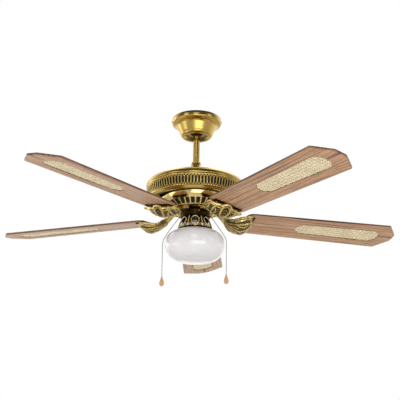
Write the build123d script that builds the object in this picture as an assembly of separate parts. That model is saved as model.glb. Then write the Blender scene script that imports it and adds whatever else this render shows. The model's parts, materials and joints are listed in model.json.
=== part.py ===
"""Ceiling fan with a light: downrod-mounted motor, five cane-panelled blades, opal globe.

The frame is millimetres with +Z up. The origin is on the ceiling, at the centre of the hanger
bracket's top face. +Y points away from the side that the fan is usually seen from.
"""
from build123d import *
import math
import os

# ---------------------------------------------------------------- clearances
FIT = 0.05            # radial clearance of every running fit
SEAT_GAP = 0.3        # gap between a piece and the thing that it rests beside
SLIDE_GAP = 0.15      # clearance on each side of a small sliding piece

# ---------------------------------------------------------------- hanger bracket and ball
PLATE_THICK = 3.0
PLATE_LENGTH = 150.0
PLATE_WIDTH = 44.0
MOUNT_SLOT_SPACING = 84.0
MOUNT_SLOT_LENGTH = 22.0
MOUNT_SLOT_WIDTH = 6.5
LUG_DROP = 14.0
ARM_WIDTH = 30.0
BALL_RADIUS = 27.0
BALL_DEPTH = 31.0          # ball centre below the ceiling
BALL_TOP_CUT = 15.0        # flat on top of the ball, above its centre
SEAT_RING_WALL = 2.0
SEAT_TOP_BELOW = 6.0       # top of the seat, below the ball's centre
SEAT_BOTTOM_BELOW = 19.0   # bottom of the seat, below the ball's centre
BRACKET_RING_WALL = 7.5
PIN_RADIUS = 3.0

# ---------------------------------------------------------------- canopy
CANOPY_RADIUS = 77.5
CANOPY_BAND = 15.0
CANOPY_SHOULDER_RADIUS = 70.0
CANOPY_SHOULDER_DEPTH = 20.0
CANOPY_WAIST_RADIUS = 60.0
CANOPY_WAIST_DEPTH = 30.0
CANOPY_LOWER_RADIUS = 50.5
CANOPY_LOWER_DEPTH = 52.0
CANOPY_MOUTH_RADIUS = 38.0
CANOPY_HEIGHT = 62.0
CANOPY_WALL = 1.2
CANOPY_BEAD_MIDDLE = (75.0, -18.5)      # on the arc between the band and the cove
CANOPY_COVE_MIDDLE = (63.5, -24.5)      # on the arc of the cove
CANOPY_ROLL_MIDDLE = (46.0, -59.4)      # on the arc of the rolled mouth
TERMINAL_SIZE = (9.0, 16.0, 10.0)
TERMINAL_PLACE = (-61.5, 0.0)
CANOPY_SCREW_RADIUS = 2.0
CANOPY_SCREW_DEPTH = 9.0

# ---------------------------------------------------------------- downrod, yoke and collar
ROD_RADIUS = 10.7
ROD_WALL = 2.0
ROD_TOP_ABOVE_BALL = 10.0
ROD_BOTTOM = -186.0
COLLAR_TOP = -147.0
COLLAR_TOP_RADIUS = 15.2
COLLAR_BAND = 4.5
COLLAR_FLARE_MIDDLE = (18.2, -160.5)    # on the arc of the collar's flare
COLLAR_WAIST_RADIUS = 23.4
COLLAR_WAIST = -168.0
COLLAR_MOUTH_RADIUS = 27.0
COLLAR_WALL = 1.6
YOKE_TOP = -172.0
YOKE_WALL = 4.0
YOKE_FLANGE_RADIUS = 40.0
YOKE_FLANGE_THICK = 4.0
YOKE_BOSS_RADIUS = 19.0
YOKE_BOTTOM = -214.0
YOKE_BOLT_RADIUS = 2.5
YOKE_BOLT_DEPTH = 179.0
YOKE_BOLT_HEAD = 1.5

# ---------------------------------------------------------------- motor housing
HOUSING_TOP = -184.0
HOUSING_WALL = 1.6
HOUSING_CROWN_RADIUS = 46.0
HOUSING_SHOULDER_RADIUS = 128.0
HOUSING_SHOULDER_DEPTH = 211.0
HOUSING_CROWN_RISE = 5.0   # the crown's bulge above a straight cone
HOUSING_EDGE_MIDDLE = (147.0, -217.5)   # on the arc between the shoulder and the widest part
HOUSING_RADIUS = 153.5
HOUSING_WIDEST_DEPTH = 229.0
VENT_TOP_RADIUS = 152.5
VENT_TOP_DEPTH = 236.0
VENT_BOTTOM_RADIUS = 144.0
VENT_BOTTOM_DEPTH = 270.0
RIM_RADIUS = 138.5
RIM_DEPTH = 277.5
RIM_INNER_RADIUS = 131.0
VENT_COUNT = 96
VENT_SLOT_WIDTH = 5.0
VENT_SLOT_HEIGHT = 15.0
HOUSING_SCREW_CIRCLE = 33.0
HOUSING_SCREW_RADIUS = 2.0
HOUSING_SCREW_COUNT = 3

# ---------------------------------------------------------------- shaft, bearings and stator
SHAFT_RADIUS = 8.5
SHAFT_BORE_RADIUS = 6.0
SHAFT_TOP = -194.0
SHAFT_BOTTOM = -322.0
BEARING_OUTER_RADIUS = 17.5
BEARING_WIDTH = 10.0
RACE_HALF_WIDTH = 2.0
RACE_DEPTH = 0.8
STATOR_MID = -266.5
STATOR_RADIUS = 79.0
STATOR_HEIGHT = 26.0
STATOR_YOKE_RADIUS = 44.0
STATOR_TEETH = 18
TOOTH_WIDTH = 7.0
TOOTH_TIP_RADIUS = 73.0
TOOTH_TIP_WIDTH = 20.0
COIL_THICK = 2.6
COIL_OVERHANG = 6.0
AIR_GAP = 0.6

# ---------------------------------------------------------------- rotor shells
ROTOR_RADIUS = 103.0
ROTOR_TOP = -226.0
ROTOR_SPLIT = -262.0
DRUM_BOTTOM = -291.0
ROTOR_BOTTOM = -308.0
CONE_RADIUS = 77.0
BOWL_RADIUS = 113.0        # the lower shell at its joint with the upper one
BOWL_MIDDLE = (110.5, -277.5)           # on the arc of the lower shell
ROTOR_WALL = 2.5
ROTOR_FLOOR = 4.0
ROTOR_HUB_WALL = 4.0
RIB_COUNT = 36
RIB_WINDOW_WIDTH = 8.0
ROTOR_SCREW_COUNT = 5
ROTOR_LUG_RADIUS = 4.0
ROTOR_LUG_SINK = 1.0       # how far a lug runs into the rotor's wall
ROTOR_LUG_SEAT = 4.0       # thread length in the lower shell
ROTOR_SCREW_RADIUS = 1.6
ROTOR_FIRST_SCREW = 36.0
BEARING_STOP = 1.5         # thickness of the lip outside each bearing
BEARING_LIP_GAP = 2.0      # radial gap between that lip and the shaft
LANDING_WIDTH = 2.0        # landing for the irons, outside the cone
RIB_WINDOW_LENGTH = 17.0
RIB_WINDOW_HEIGHT = 12.0
RIB_WINDOW_SLOPE = 35.0
UPPER_BEARING_TOP = ROTOR_TOP - BEARING_STOP
LOWER_BEARING_BOTTOM = ROTOR_BOTTOM + BEARING_STOP
ROTOR_INNER = ROTOR_RADIUS - ROTOR_WALL

# ---------------------------------------------------------------- blades and irons
BLADE_COUNT = 5
FIRST_BLADE_ANGLE = 15.0
SWEEP_RADIUS = 660.0
BLADE_ROOT_RADIUS = 152.0
BLADE_PLANE = -328.5
BLADE_PITCH = 10.0
BLADE_THICK = 5.5
BLADE_TIP_WIDTH = 145.0
BLADE_ROOT_WIDTH = 122.0
TIP_FLAT_WIDTH = 38.0
TIP_CHAMFER_LENGTH = 37.0
TIP_CORNER_RADIUS = 8.0
ROOT_CORNER_RADIUS = 22.0
CANE_INNER_RADIUS = 322.0
CANE_OUTER_RADIUS = 612.0
CANE_INNER_WIDTH = 62.0
CANE_OUTER_WIDTH = 78.0
CANE_CHAMFER = 20.0
CANE_CORNER_RADIUS = 6.0
CANE_RABBET = 5.0
CANE_THICK = 2.0
CANE_RECESS = 0.6
BLADE_SCREW_RADIUS = 2.25
BLADE_SCREW_HEAD_RADIUS = 4.5
BLADE_WASHER = 0.9
BLADE_SCREW_INSET = 15.0   # from the blade's root
BLADE_SCREW_SPREAD = 36.0
IRON_FOOT_INNER = 52.0
IRON_FOOT_OUTER = 78.0
IRON_FOOT_WIDTH = 32.0
IRON_FOOT_THICK = 5.0
IRON_FOOT_CORNER = 5.0
IRON_THICK = 4.0
# share of the way from foot to leaf, drop below the foot's top, half width, sag, share of the pitch
IRON_ARM = [(0.0, 0.6, 13.0, 0.6, 0.0), (0.5, 14.0, 19.0, 5.0, 0.3)]
# place beyond the blade's root, drop below the blade's underside, half width, sag
IRON_LEAF = [(-40.0, 4.0, 34.0, 5.0), (-18.0, 3.0, 50.0, 21.0), (0.0, 1.0, 55.0, 26.0)]
IRON_LIP = [(0.0, 1.0, 55.0, 26.0), (14.0, 0.1, 55.0, 18.0), (27.0, 0.1, 51.0, 3.0)]
IRON_ARM_LAP = 6.0         # the arm's start, inside the end of the foot
LANDING_LENGTH = 26.0      # flat plate across the leaf, under the blade
LANDING_HALF_WIDTH = 49.0
IRON_SCREW_RADIAL = 64.0
IRON_SCREW_SPREAD = 9.0
IRON_SCREW_RADIUS = 2.5
IRON_SCREW_LENGTH = 3.4    # into the rotor's floor
SCREW_HEAD_THICK = 2.0
NUT_THICK_UNDER = 2.0      # nut under the landing
HEAD_ON_BLADE = 1.8        # screw head above the blade

# ---------------------------------------------------------------- switch housing
CUP_TOP = -312.0
CUP_BOTTOM = -328.0
CUP_RADIUS = 45.0
CUP_WALL = 1.5
SWITCH_PLATE_THICK = 1.6
CUP_SCREW_COUNT = 3
CUP_SCREW_RADIUS = 1.5
SHAFT_NUT_RADIUS = 13.0
SHAFT_NUT_THICK = 5.0
PULL_SWITCH_SIZE = (20.0, 14.0, 9.0)
PULL_SWITCH_CENTRE = 27.0
CAPACITOR_SIZE = (36.0, 14.0, 10.0)
CAPACITOR_CENTRE = -26.0
REVERSE_SIZE = (22.0, 8.0, 9.0)
SLIDER_WIDTH = 4.0
SLIDER_HEIGHT = 5.0
SLIDER_PROUD = 3.0
SLIDER_TRAVEL = 3.0
SLIDER_DEPTH = 320.5
EYELET_STEM_RADIUS = 3.0
EYELET_FLARE_RADIUS = 4.2
EYELET_INSIDE = 2.0        # length of the eyelet behind the middle of the cup's wall
EYELET_OUTSIDE = 9.0
EYELET_FLARE_LENGTH = 2.5
EYELET_DEPTH = 321.0
EYELET_TILT = 52.0         # below the horizontal

# ---------------------------------------------------------------- light fitter, lamp and globe
FITTER_TOP_RADIUS = 41.0
FITTER_RADIUS = 52.0
FITTER_BOTTOM = -370.0
FITTER_WALL = 2.0
FITTER_FLARE_MIDDLE = (45.5, -342.0)    # on the arc of the fitter's flare
FITTER_SKIRT = (51.0, -356.0)           # where the flare meets the skirt
FITTER_CUTOUTS = 7
CUTOUT_WIDTH = 21.0
CUTOUT_TOP = -336.0
CUTOUT_BOTTOM = -357.0
CUTOUT_CORNER_RADIUS = 1.5
NIPPLE_RADIUS = 5.0
NIPPLE_BORE_RADIUS = 3.8
NUT_RADIUS = 8.0
NUT_THICK = 4.0
HOLDER_RADIUS = 20.0
HOLDER_TOP = -338.0
HOLDER_LENGTH = 36.0
HOLDER_BORE_RADIUS = 14.5
HOLDER_CAP_THICK = 5.0
HOLDER_SOCKET = 3.0        # how deep the nipple goes into the holder
BULB_CAP_RADIUS = 13.2
BULB_CAP_LENGTH = 33.0
BULB_RADIUS = 27.5
BULB_LENGTH = 98.0
BULB_NECK_ANGLE = 40.0
GLOBE_RADIUS = 92.0
GLOBE_EQUATOR = -413.0
GLOBE_BOTTOM = -465.0
GLOBE_DISC_RADIUS = 46.0
GLOBE_NECK_RADIUS = 45.0
GLOBE_LIP_RADIUS = 48.5
GLOBE_LIP_TOP = -360.5
GLOBE_LIP_THICK = 3.5
GLOBE_WALL = 3.0
GLOBE_NECK_DEPTH = 372.0
GLOBE_SHOULDER_MIDDLE = (81.7, -385.9)  # on the arc between the neck and the equator
GLOBE_BELLY_MIDDLE = (81.0, -445.2)     # on the arc between the equator and the bottom disc
GLOBE_DISC_RISE = 3.0
GLOBE_SCREW_COUNT = 3
GLOBE_SCREW_RADIUS = 1.75

# ---------------------------------------------------------------- pull chains and drops
CHAIN_RADIUS = 1.6
CHAIN_BEND_RADIUS = 30.0
FAN_CHAIN_ANGLE = 180.0
LIGHT_CHAIN_ANGLE = -14.0
# from the eyelet over the globe's shoulder, as (distance from the axis, height)
CHAIN_SHOULDER = [(66.0, -351.0), (82.0, -375.0), (95.2, -396.5), (98.0, -410.0), (97.8, -430.0)]
CHAIN_OFFSET = 97.5        # distance of the hanging stretch from the axis
FAN_CHAIN_END = -513.0
LIGHT_CHAIN_END = -509.0
DROP_LENGTH = 30.0
DROP_RADIUS = 7.3
DROP_NECK_RADIUS = 2.6
DROP_NECK_LENGTH = 4.0
DROP_WIDEST = 9.0          # height of the widest part above the bottom


# ---------------------------------------------------------------- helpers
def spun(*edges):
    """Closed profile of (radius, height) edges, turned about the Z axis."""
    outline = edges[0]
    for edge in edges[1:]:
        outline = outline + edge
    return revolve(Plane.XZ * make_face(outline), Axis.Z)


def spun_points(*points):
    """Straight-sided profile of (radius, height) points, turned about the Z axis."""
    return revolve(Plane.XZ * make_face(Polyline(*points, close=True)), Axis.Z)


def ring(outer, inner, top, bottom):
    """Round ring, or a disc where inner is 0."""
    body = Pos(0, 0, (top + bottom) / 2) * Cylinder(outer, top - bottom)
    if inner > 0:
        body -= Pos(0, 0, (top + bottom) / 2) * Cylinder(inner, 2 * (top - bottom))
    return body


def around(piece, count, start=0.0):
    """Copies of a piece, evenly spaced about the Z axis."""
    return [Rot(0, 0, start + index * 360.0 / count) * piece for index in range(count)]


def group(pieces):
    """Separate solids that share one node."""
    return Compound(children=[solid for piece in pieces for solid in piece.solids()])


def cap_arc(radius, edge_height, axis_height):
    """Arc from (radius, edge height) to the axis, square to the axis where it meets it."""
    rise = abs(edge_height - axis_height)
    arc_radius = (radius ** 2 + rise ** 2) / (2 * rise)
    away = 1 if edge_height > axis_height else -1
    centre = axis_height + away * arc_radius
    half = math.atan2(radius, arc_radius - rise) / 2
    middle = (arc_radius * math.sin(half), centre - away * arc_radius * math.cos(half))
    return ThreePointArc((radius, edge_height), middle, (0, axis_height))


def screw_down(radius, head_radius, head_top, head_thick, length):
    """Screw on the Z axis with its head on top and its shank below."""
    head = Pos(0, 0, head_top - head_thick / 2) * Cylinder(head_radius, head_thick)
    shank = Pos(0, 0, head_top - head_thick - length / 2) * Cylinder(radius, length)
    return head + shank


# ---------------------------------------------------------------- mounting on the ceiling
def hanger_bracket():
    """Ceiling plate with two slots, two canopy lugs and two arms that carry the ball's seat."""
    plate = Pos(0, 0, -PLATE_THICK / 2) * Box(PLATE_LENGTH, PLATE_WIDTH, PLATE_THICK)
    slot = SlotOverall(MOUNT_SLOT_LENGTH, MOUNT_SLOT_WIDTH)
    for side in (-1, 1):
        place = Pos(side * MOUNT_SLOT_SPACING / 2, 0, -2 * PLATE_THICK)
        plate -= extrude(place * slot, 4 * PLATE_THICK)
    plate &= ring(CANOPY_RADIUS - CANOPY_WALL - SEAT_GAP, 0, 0, -PLATE_THICK)
    lug_x = (PLATE_LENGTH - PLATE_THICK) / 2
    seat_outer = BALL_RADIUS + SEAT_RING_WALL + 2 * FIT
    ring_outer = seat_outer + BRACKET_RING_WALL
    arm_bottom = -(BALL_DEPTH + SEAT_BOTTOM_BELOW)
    arm = Box(PLATE_THICK, ARM_WIDTH, -arm_bottom)
    ring_top = -(BALL_DEPTH + SEAT_TOP_BELOW)
    bracket = plate + ring(ring_outer, 1.0, ring_top, arm_bottom)
    for side in (-1, 1):
        lug = Box(PLATE_THICK, PLATE_WIDTH / 2, LUG_DROP)
        bracket += Pos(side * lug_x, 0, -LUG_DROP / 2) * lug
        bracket += Pos(side * (ring_outer - PLATE_THICK / 2), 0, arm_bottom / 2) * arm
        bracket -= (Pos(side * lug_x, 0, -CANOPY_SCREW_DEPTH) * Rot(0, 90, 0)
                    * Cylinder(CANOPY_SCREW_RADIUS, 4 * PLATE_THICK))
    return bracket - Pos(0, 0, -BALL_DEPTH) * Sphere(seat_outer)


def ball_seat_ring():
    """Nylon ring between the bracket's seat and the ball."""
    centre = Pos(0, 0, -BALL_DEPTH)
    outer = centre * Sphere(BALL_RADIUS + SEAT_RING_WALL + FIT)
    inner = centre * Sphere(BALL_RADIUS + FIT)
    zone = ring(BALL_RADIUS + 2 * SEAT_RING_WALL, 0, -(BALL_DEPTH + SEAT_TOP_BELOW),
                -(BALL_DEPTH + SEAT_BOTTOM_BELOW))
    return (outer - inner) & zone


def hanger_ball():
    """Ball that the rod hangs from, flat on top, bored for the rod and its pin."""
    ball = Pos(0, 0, -BALL_DEPTH) * Sphere(BALL_RADIUS)
    keep = ring(BALL_RADIUS + 1, 0, BALL_TOP_CUT - BALL_DEPTH, -BALL_DEPTH - BALL_RADIUS)
    ball = (ball & keep) - Pos(0, 0, -BALL_DEPTH) * Cylinder(ROD_RADIUS + FIT, 4 * BALL_RADIUS)
    return ball - Pos(0, 0, -BALL_DEPTH) * Rot(90, 0, 0) * Cylinder(PIN_RADIUS, 4 * BALL_RADIUS)


def ball_pin():
    """Cross pin through the ball and the rod."""
    half_length = math.sqrt(BALL_RADIUS ** 2 - PIN_RADIUS ** 2) - 1.0
    return Pos(0, 0, -BALL_DEPTH) * Rot(90, 0, 0) * Cylinder(PIN_RADIUS, 2 * half_length)


def canopy():
    """Bell canopy with a thick band, a cove, a tapering wall and a rolled mouth."""
    wall = CANOPY_WALL
    band = (CANOPY_RADIUS, -CANOPY_BAND)
    shoulder = (CANOPY_SHOULDER_RADIUS, -CANOPY_SHOULDER_DEPTH)
    waist = (CANOPY_WAIST_RADIUS, -CANOPY_WAIST_DEPTH)
    lower = (CANOPY_LOWER_RADIUS, -CANOPY_LOWER_DEPTH)
    mouth = (CANOPY_MOUTH_RADIUS, -CANOPY_HEIGHT)
    bead, cove, roll = CANOPY_BEAD_MIDDLE, CANOPY_COVE_MIDDLE, CANOPY_ROLL_MIDDLE
    outer = [Line((CANOPY_RADIUS, -SEAT_GAP), band), ThreePointArc(band, bead, shoulder),
             ThreePointArc(shoulder, cove, waist), Line(waist, lower), ThreePointArc(lower, roll, mouth)]
    in_mouth = (mouth[0], mouth[1] + wall)
    in_lower = (lower[0] - wall, lower[1])
    in_waist = (waist[0] - wall, waist[1])
    in_shoulder = (shoulder[0], shoulder[1] + wall)
    in_band = (band[0] - wall, band[1])
    inner = [Line(mouth, in_mouth),
             ThreePointArc(in_mouth, (roll[0] - wall, roll[1] + wall), in_lower),
             Line(in_lower, in_waist),
             ThreePointArc(in_waist, (cove[0] - wall, cove[1] + wall / 2), in_shoulder),
             ThreePointArc(in_shoulder, (bead[0] - wall, bead[1] + wall), in_band),
             Line(in_band, (in_band[0], -SEAT_GAP)),
             Line((in_band[0], -SEAT_GAP), (CANOPY_RADIUS, -SEAT_GAP))]
    bell = spun(*outer, *inner)
    for side in (-1, 1):
        bell -= (Pos(side * CANOPY_RADIUS, 0, -CANOPY_SCREW_DEPTH) * Rot(0, 90, 0)
                 * Cylinder(CANOPY_SCREW_RADIUS, 8 * CANOPY_WALL))
    return bell


def canopy_screws():
    """Two side screws that hold the canopy to the bracket's lugs."""
    length = CANOPY_RADIUS - (PLATE_LENGTH / 2 - PLATE_THICK)
    screw = screw_down(CANOPY_SCREW_RADIUS, 2 * CANOPY_SCREW_RADIUS, SCREW_HEAD_THICK, SCREW_HEAD_THICK,
                       length)
    return group([Pos(side * CANOPY_RADIUS, 0, -CANOPY_SCREW_DEPTH) * Rot(0, side * 90, 0) * screw
                  for side in (-1, 1)])


def terminal_block():
    """Wire terminal block on the underside of the ceiling plate."""
    return Pos(*TERMINAL_PLACE, -PLATE_THICK - TERMINAL_SIZE[2] / 2) * Box(*TERMINAL_SIZE)


# ---------------------------------------------------------------- suspension
def downrod():
    """Steel tube from the ball to the yoke."""
    top = ROD_TOP_ABOVE_BALL - BALL_DEPTH
    tube = ring(ROD_RADIUS, ROD_RADIUS - ROD_WALL, top, ROD_BOTTOM)
    tube -= Pos(0, 0, -BALL_DEPTH) * Rot(90, 0, 0) * Cylinder(PIN_RADIUS, 4 * ROD_RADIUS)
    return tube - Pos(0, 0, -YOKE_BOLT_DEPTH) * Rot(0, 90, 0) * Cylinder(YOKE_BOLT_RADIUS, 4 * ROD_RADIUS)


def motor_collar():
    """Flared cover that slides on the rod and hides the yoke."""
    bore = ROD_RADIUS + FIT
    wall = COLLAR_WALL
    band = (COLLAR_TOP_RADIUS, COLLAR_TOP - COLLAR_BAND)
    waist = (COLLAR_WAIST_RADIUS, COLLAR_WAIST)
    mouth = (COLLAR_MOUTH_RADIUS, HOUSING_TOP)
    flare = COLLAR_FLARE_MIDDLE
    in_mouth = (mouth[0] - wall, mouth[1])
    in_waist = (waist[0] - wall, waist[1])
    in_band = (band[0] - wall, band[1] - wall)
    return spun(Line((bore, COLLAR_TOP), (band[0], COLLAR_TOP)), Line((band[0], COLLAR_TOP), band),
                ThreePointArc(band, flare, waist), Line(waist, mouth), Line(mouth, in_mouth),
                Line(in_mouth, in_waist),
                ThreePointArc(in_waist, (flare[0] - wall, flare[1] - wall / 2), in_band),
                Line(in_band, (bore, in_band[1])), Line((bore, in_band[1]), (bore, COLLAR_TOP)))


def motor_yoke():
    """Casting that joins the rod, the housing and the motor shaft."""
    neck = ROD_RADIUS + FIT + YOKE_WALL
    flange_top = HOUSING_TOP - HOUSING_WALL
    body = ring(neck, 0, YOKE_TOP, flange_top)
    body += ring(YOKE_FLANGE_RADIUS, 0, flange_top, flange_top - YOKE_FLANGE_THICK)
    body += ring(YOKE_BOSS_RADIUS, 0, flange_top - YOKE_FLANGE_THICK, YOKE_BOTTOM)
    body -= ring(ROD_RADIUS + FIT, 0, YOKE_TOP + 1, ROD_BOTTOM)
    body -= ring(SHAFT_RADIUS, 0, SHAFT_TOP, YOKE_BOTTOM - 1)
    body -= ring(SHAFT_BORE_RADIUS, 0, YOKE_TOP, YOKE_BOTTOM)
    body -= Pos(0, 0, -YOKE_BOLT_DEPTH) * Rot(0, 90, 0) * Cylinder(YOKE_BOLT_RADIUS, 4 * neck)
    hole = Pos(HOUSING_SCREW_CIRCLE, 0, flange_top) * Cylinder(HOUSING_SCREW_RADIUS, 4 * YOKE_FLANGE_THICK)
    for cut in around(hole, HOUSING_SCREW_COUNT, 90.0):
        body -= cut
    return body


def yoke_bolt():
    """Cross bolt through the yoke and the rod, with its nut."""
    neck = ROD_RADIUS + FIT + YOKE_WALL
    head = YOKE_BOLT_HEAD
    bolt = Cylinder(YOKE_BOLT_RADIUS, 2 * neck + 3 * head)
    bolt += Pos(0, 0, neck + head / 2) * Cylinder(1.5 * YOKE_BOLT_RADIUS, head)
    nut = Pos(0, 0, -neck - head) * extrude(RegularPolygon(2.0 * YOKE_BOLT_RADIUS, 6), head)
    return Pos(0, 0, -YOKE_BOLT_DEPTH) * Rot(0, 90, 0) * (bolt + nut)


def upper_housing():
    """Domed motor housing with a pierced vent band and a turned-in lower rim."""
    wall = HOUSING_WALL
    crown = (HOUSING_CROWN_RADIUS, HOUSING_TOP)
    shoulder = (HOUSING_SHOULDER_RADIUS, -HOUSING_SHOULDER_DEPTH)
    widest = (HOUSING_RADIUS, -HOUSING_WIDEST_DEPTH)
    vent_top = (VENT_TOP_RADIUS, -VENT_TOP_DEPTH)
    vent_bottom = (VENT_BOTTOM_RADIUS, -VENT_BOTTOM_DEPTH)
    bore = ROD_RADIUS + FIT + YOKE_WALL + FIT
    dome_mid = ((crown[0] + shoulder[0]) / 2, (crown[1] + shoulder[1]) / 2 + HOUSING_CROWN_RISE)
    edge_mid = HOUSING_EDGE_MIDDLE
    rim_top = -RIM_DEPTH + wall
    in_rim = (RIM_RADIUS - wall, rim_top)
    in_vent_bottom = (vent_bottom[0] - wall, vent_bottom[1])
    in_vent_top = (vent_top[0] - wall, vent_top[1])
    in_widest = (widest[0] - wall, widest[1])
    in_shoulder = (shoulder[0] - wall / 2, shoulder[1] - wall)
    in_crown = (crown[0], crown[1] - wall)
    dome = spun(Line((bore, HOUSING_TOP), crown), ThreePointArc(crown, dome_mid, shoulder),
                ThreePointArc(shoulder, edge_mid, widest), Line(widest, vent_top),
                Line(vent_top, vent_bottom), Line(vent_bottom, (RIM_RADIUS, -RIM_DEPTH)),
                Line((RIM_RADIUS, -RIM_DEPTH), (RIM_INNER_RADIUS, -RIM_DEPTH)),
                Line((RIM_INNER_RADIUS, -RIM_DEPTH), (RIM_INNER_RADIUS, rim_top)),
                Line((RIM_INNER_RADIUS, rim_top), in_rim), Line(in_rim, in_vent_bottom),
                Line(in_vent_bottom, in_vent_top), Line(in_vent_top, in_widest),
                ThreePointArc(in_widest, (edge_mid[0] - wall, edge_mid[1] - wall), in_shoulder),
                ThreePointArc(in_shoulder, (dome_mid[0], dome_mid[1] - wall), in_crown),
                Line(in_crown, (bore, in_crown[1])), Line((bore, in_crown[1]), (bore, HOUSING_TOP)))
    slot_place = Pos((VENT_TOP_RADIUS + VENT_BOTTOM_RADIUS) / 2, 0, -(VENT_TOP_DEPTH + VENT_BOTTOM_DEPTH) / 2)
    slot = slot_place * Box(8 * HOUSING_WALL, VENT_SLOT_WIDTH, VENT_SLOT_HEIGHT)
    hole = Pos(HOUSING_SCREW_CIRCLE, 0, HOUSING_TOP) * Cylinder(HOUSING_SCREW_RADIUS, 4 * HOUSING_WALL)
    cuts = around(slot, VENT_COUNT) + around(hole, HOUSING_SCREW_COUNT, 90.0)
    return dome - cuts


def housing_screws():
    """Screws that clamp the housing's crown to the yoke's flange."""
    screw = Pos(HOUSING_SCREW_CIRCLE, 0, 0) * screw_down(
        HOUSING_SCREW_RADIUS, 1.9 * HOUSING_SCREW_RADIUS, HOUSING_TOP + SCREW_HEAD_THICK,
        SCREW_HEAD_THICK, HOUSING_WALL + YOKE_FLANGE_THICK)
    return group(around(screw, HOUSING_SCREW_COUNT, 90.0))


# ---------------------------------------------------------------- motor
def motor_shaft():
    """Hollow fixed shaft that the rotor turns on and the switch housing hangs from."""
    return ring(SHAFT_RADIUS, SHAFT_BORE_RADIUS, SHAFT_TOP, SHAFT_BOTTOM)


def bearing(top):
    """Ball bearing, simplified to one ring with a shallow race groove on each face."""
    body = ring(BEARING_OUTER_RADIUS, SHAFT_RADIUS + FIT, top, top - BEARING_WIDTH)
    middle = (BEARING_OUTER_RADIUS + SHAFT_RADIUS) / 2
    for height in (top, top - BEARING_WIDTH):
        body -= ring(middle + RACE_HALF_WIDTH, middle - RACE_HALF_WIDTH, height + RACE_DEPTH,
                     height - RACE_DEPTH)
    return body


def stator_core():
    """Laminated core with radial teeth and broad tooth tips."""
    top = STATOR_MID + STATOR_HEIGHT / 2
    bottom = STATOR_MID - STATOR_HEIGHT / 2
    core = ring(STATOR_YOKE_RADIUS, SHAFT_RADIUS, top, bottom)
    tooth_length = STATOR_RADIUS - STATOR_YOKE_RADIUS + 4.0
    tooth = Box(tooth_length, TOOTH_WIDTH, STATOR_HEIGHT)
    tooth = Pos(STATOR_RADIUS - tooth_length / 2, 0, STATOR_MID) * tooth
    tip_length = STATOR_RADIUS - TOOTH_TIP_RADIUS
    tip = Pos(TOOTH_TIP_RADIUS + tip_length / 2, 0, STATOR_MID) * Box(tip_length, TOOTH_TIP_WIDTH,
                                                                      STATOR_HEIGHT)
    core += around(tooth + tip, STATOR_TEETH)
    return core & ring(STATOR_RADIUS, 0, top, bottom)


def stator_windings():
    """One coil around each tooth."""
    inner = STATOR_YOKE_RADIUS + 2.0
    outer = TOOTH_TIP_RADIUS - 1.0
    side = TOOTH_WIDTH + 2 * SLIDE_GAP
    height = STATOR_HEIGHT + 2 * SLIDE_GAP
    coil = Box(outer - inner, side + 2 * COIL_THICK, height + 2 * COIL_OVERHANG)
    coil -= Box(2 * (outer - inner), side, height)
    return group(around(Pos((outer + inner) / 2, 0, STATOR_MID) * coil, STATOR_TEETH))


def rotor_lug_place():
    """Place of a screw lug, against the inside of the rotor's wall."""
    return Pos(ROTOR_INNER - ROTOR_LUG_RADIUS + ROTOR_LUG_SINK, 0, 0)


def rotor_ring():
    """Laminated ring in the rotor shells, notched for their screw lugs."""
    top = STATOR_MID + STATOR_HEIGHT / 2
    bottom = STATOR_MID - STATOR_HEIGHT / 2
    notch = rotor_lug_place() * ring(ROTOR_LUG_RADIUS + SEAT_GAP, 0, top + 1, bottom - 1)
    lamination = ring(ROTOR_INNER, STATOR_RADIUS + AIR_GAP, top, bottom)
    return lamination - around(notch, ROTOR_SCREW_COUNT, ROTOR_FIRST_SCREW)


def rotor_lugs(top, bottom):
    """Lugs for the screws that join the two rotor shells."""
    lug = ring(ROTOR_LUG_RADIUS, ROTOR_SCREW_RADIUS, top, bottom)
    return around(rotor_lug_place() * lug, ROTOR_SCREW_COUNT, ROTOR_FIRST_SCREW)


def rotor_top_shell():
    """Upper half of the rotor case, with the upper bearing's seat."""
    hub = BEARING_OUTER_RADIUS + ROTOR_HUB_WALL
    shell = ring(ROTOR_RADIUS, ROTOR_INNER, ROTOR_TOP, ROTOR_SPLIT)
    shell += ring(ROTOR_RADIUS, BEARING_OUTER_RADIUS, ROTOR_TOP, ROTOR_TOP - ROTOR_WALL)
    shell += ring(hub, BEARING_OUTER_RADIUS, ROTOR_TOP, UPPER_BEARING_TOP - BEARING_WIDTH)
    shell += ring(hub, SHAFT_RADIUS + BEARING_LIP_GAP, ROTOR_TOP, UPPER_BEARING_TOP)
    shell += rotor_lugs(ROTOR_TOP - ROTOR_WALL, ROTOR_SPLIT)
    hole = rotor_lug_place() * ring(ROTOR_SCREW_RADIUS, 0, ROTOR_TOP + 1, ROTOR_SPLIT - 1)
    return shell - around(hole, ROTOR_SCREW_COUNT, ROTOR_FIRST_SCREW)


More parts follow.
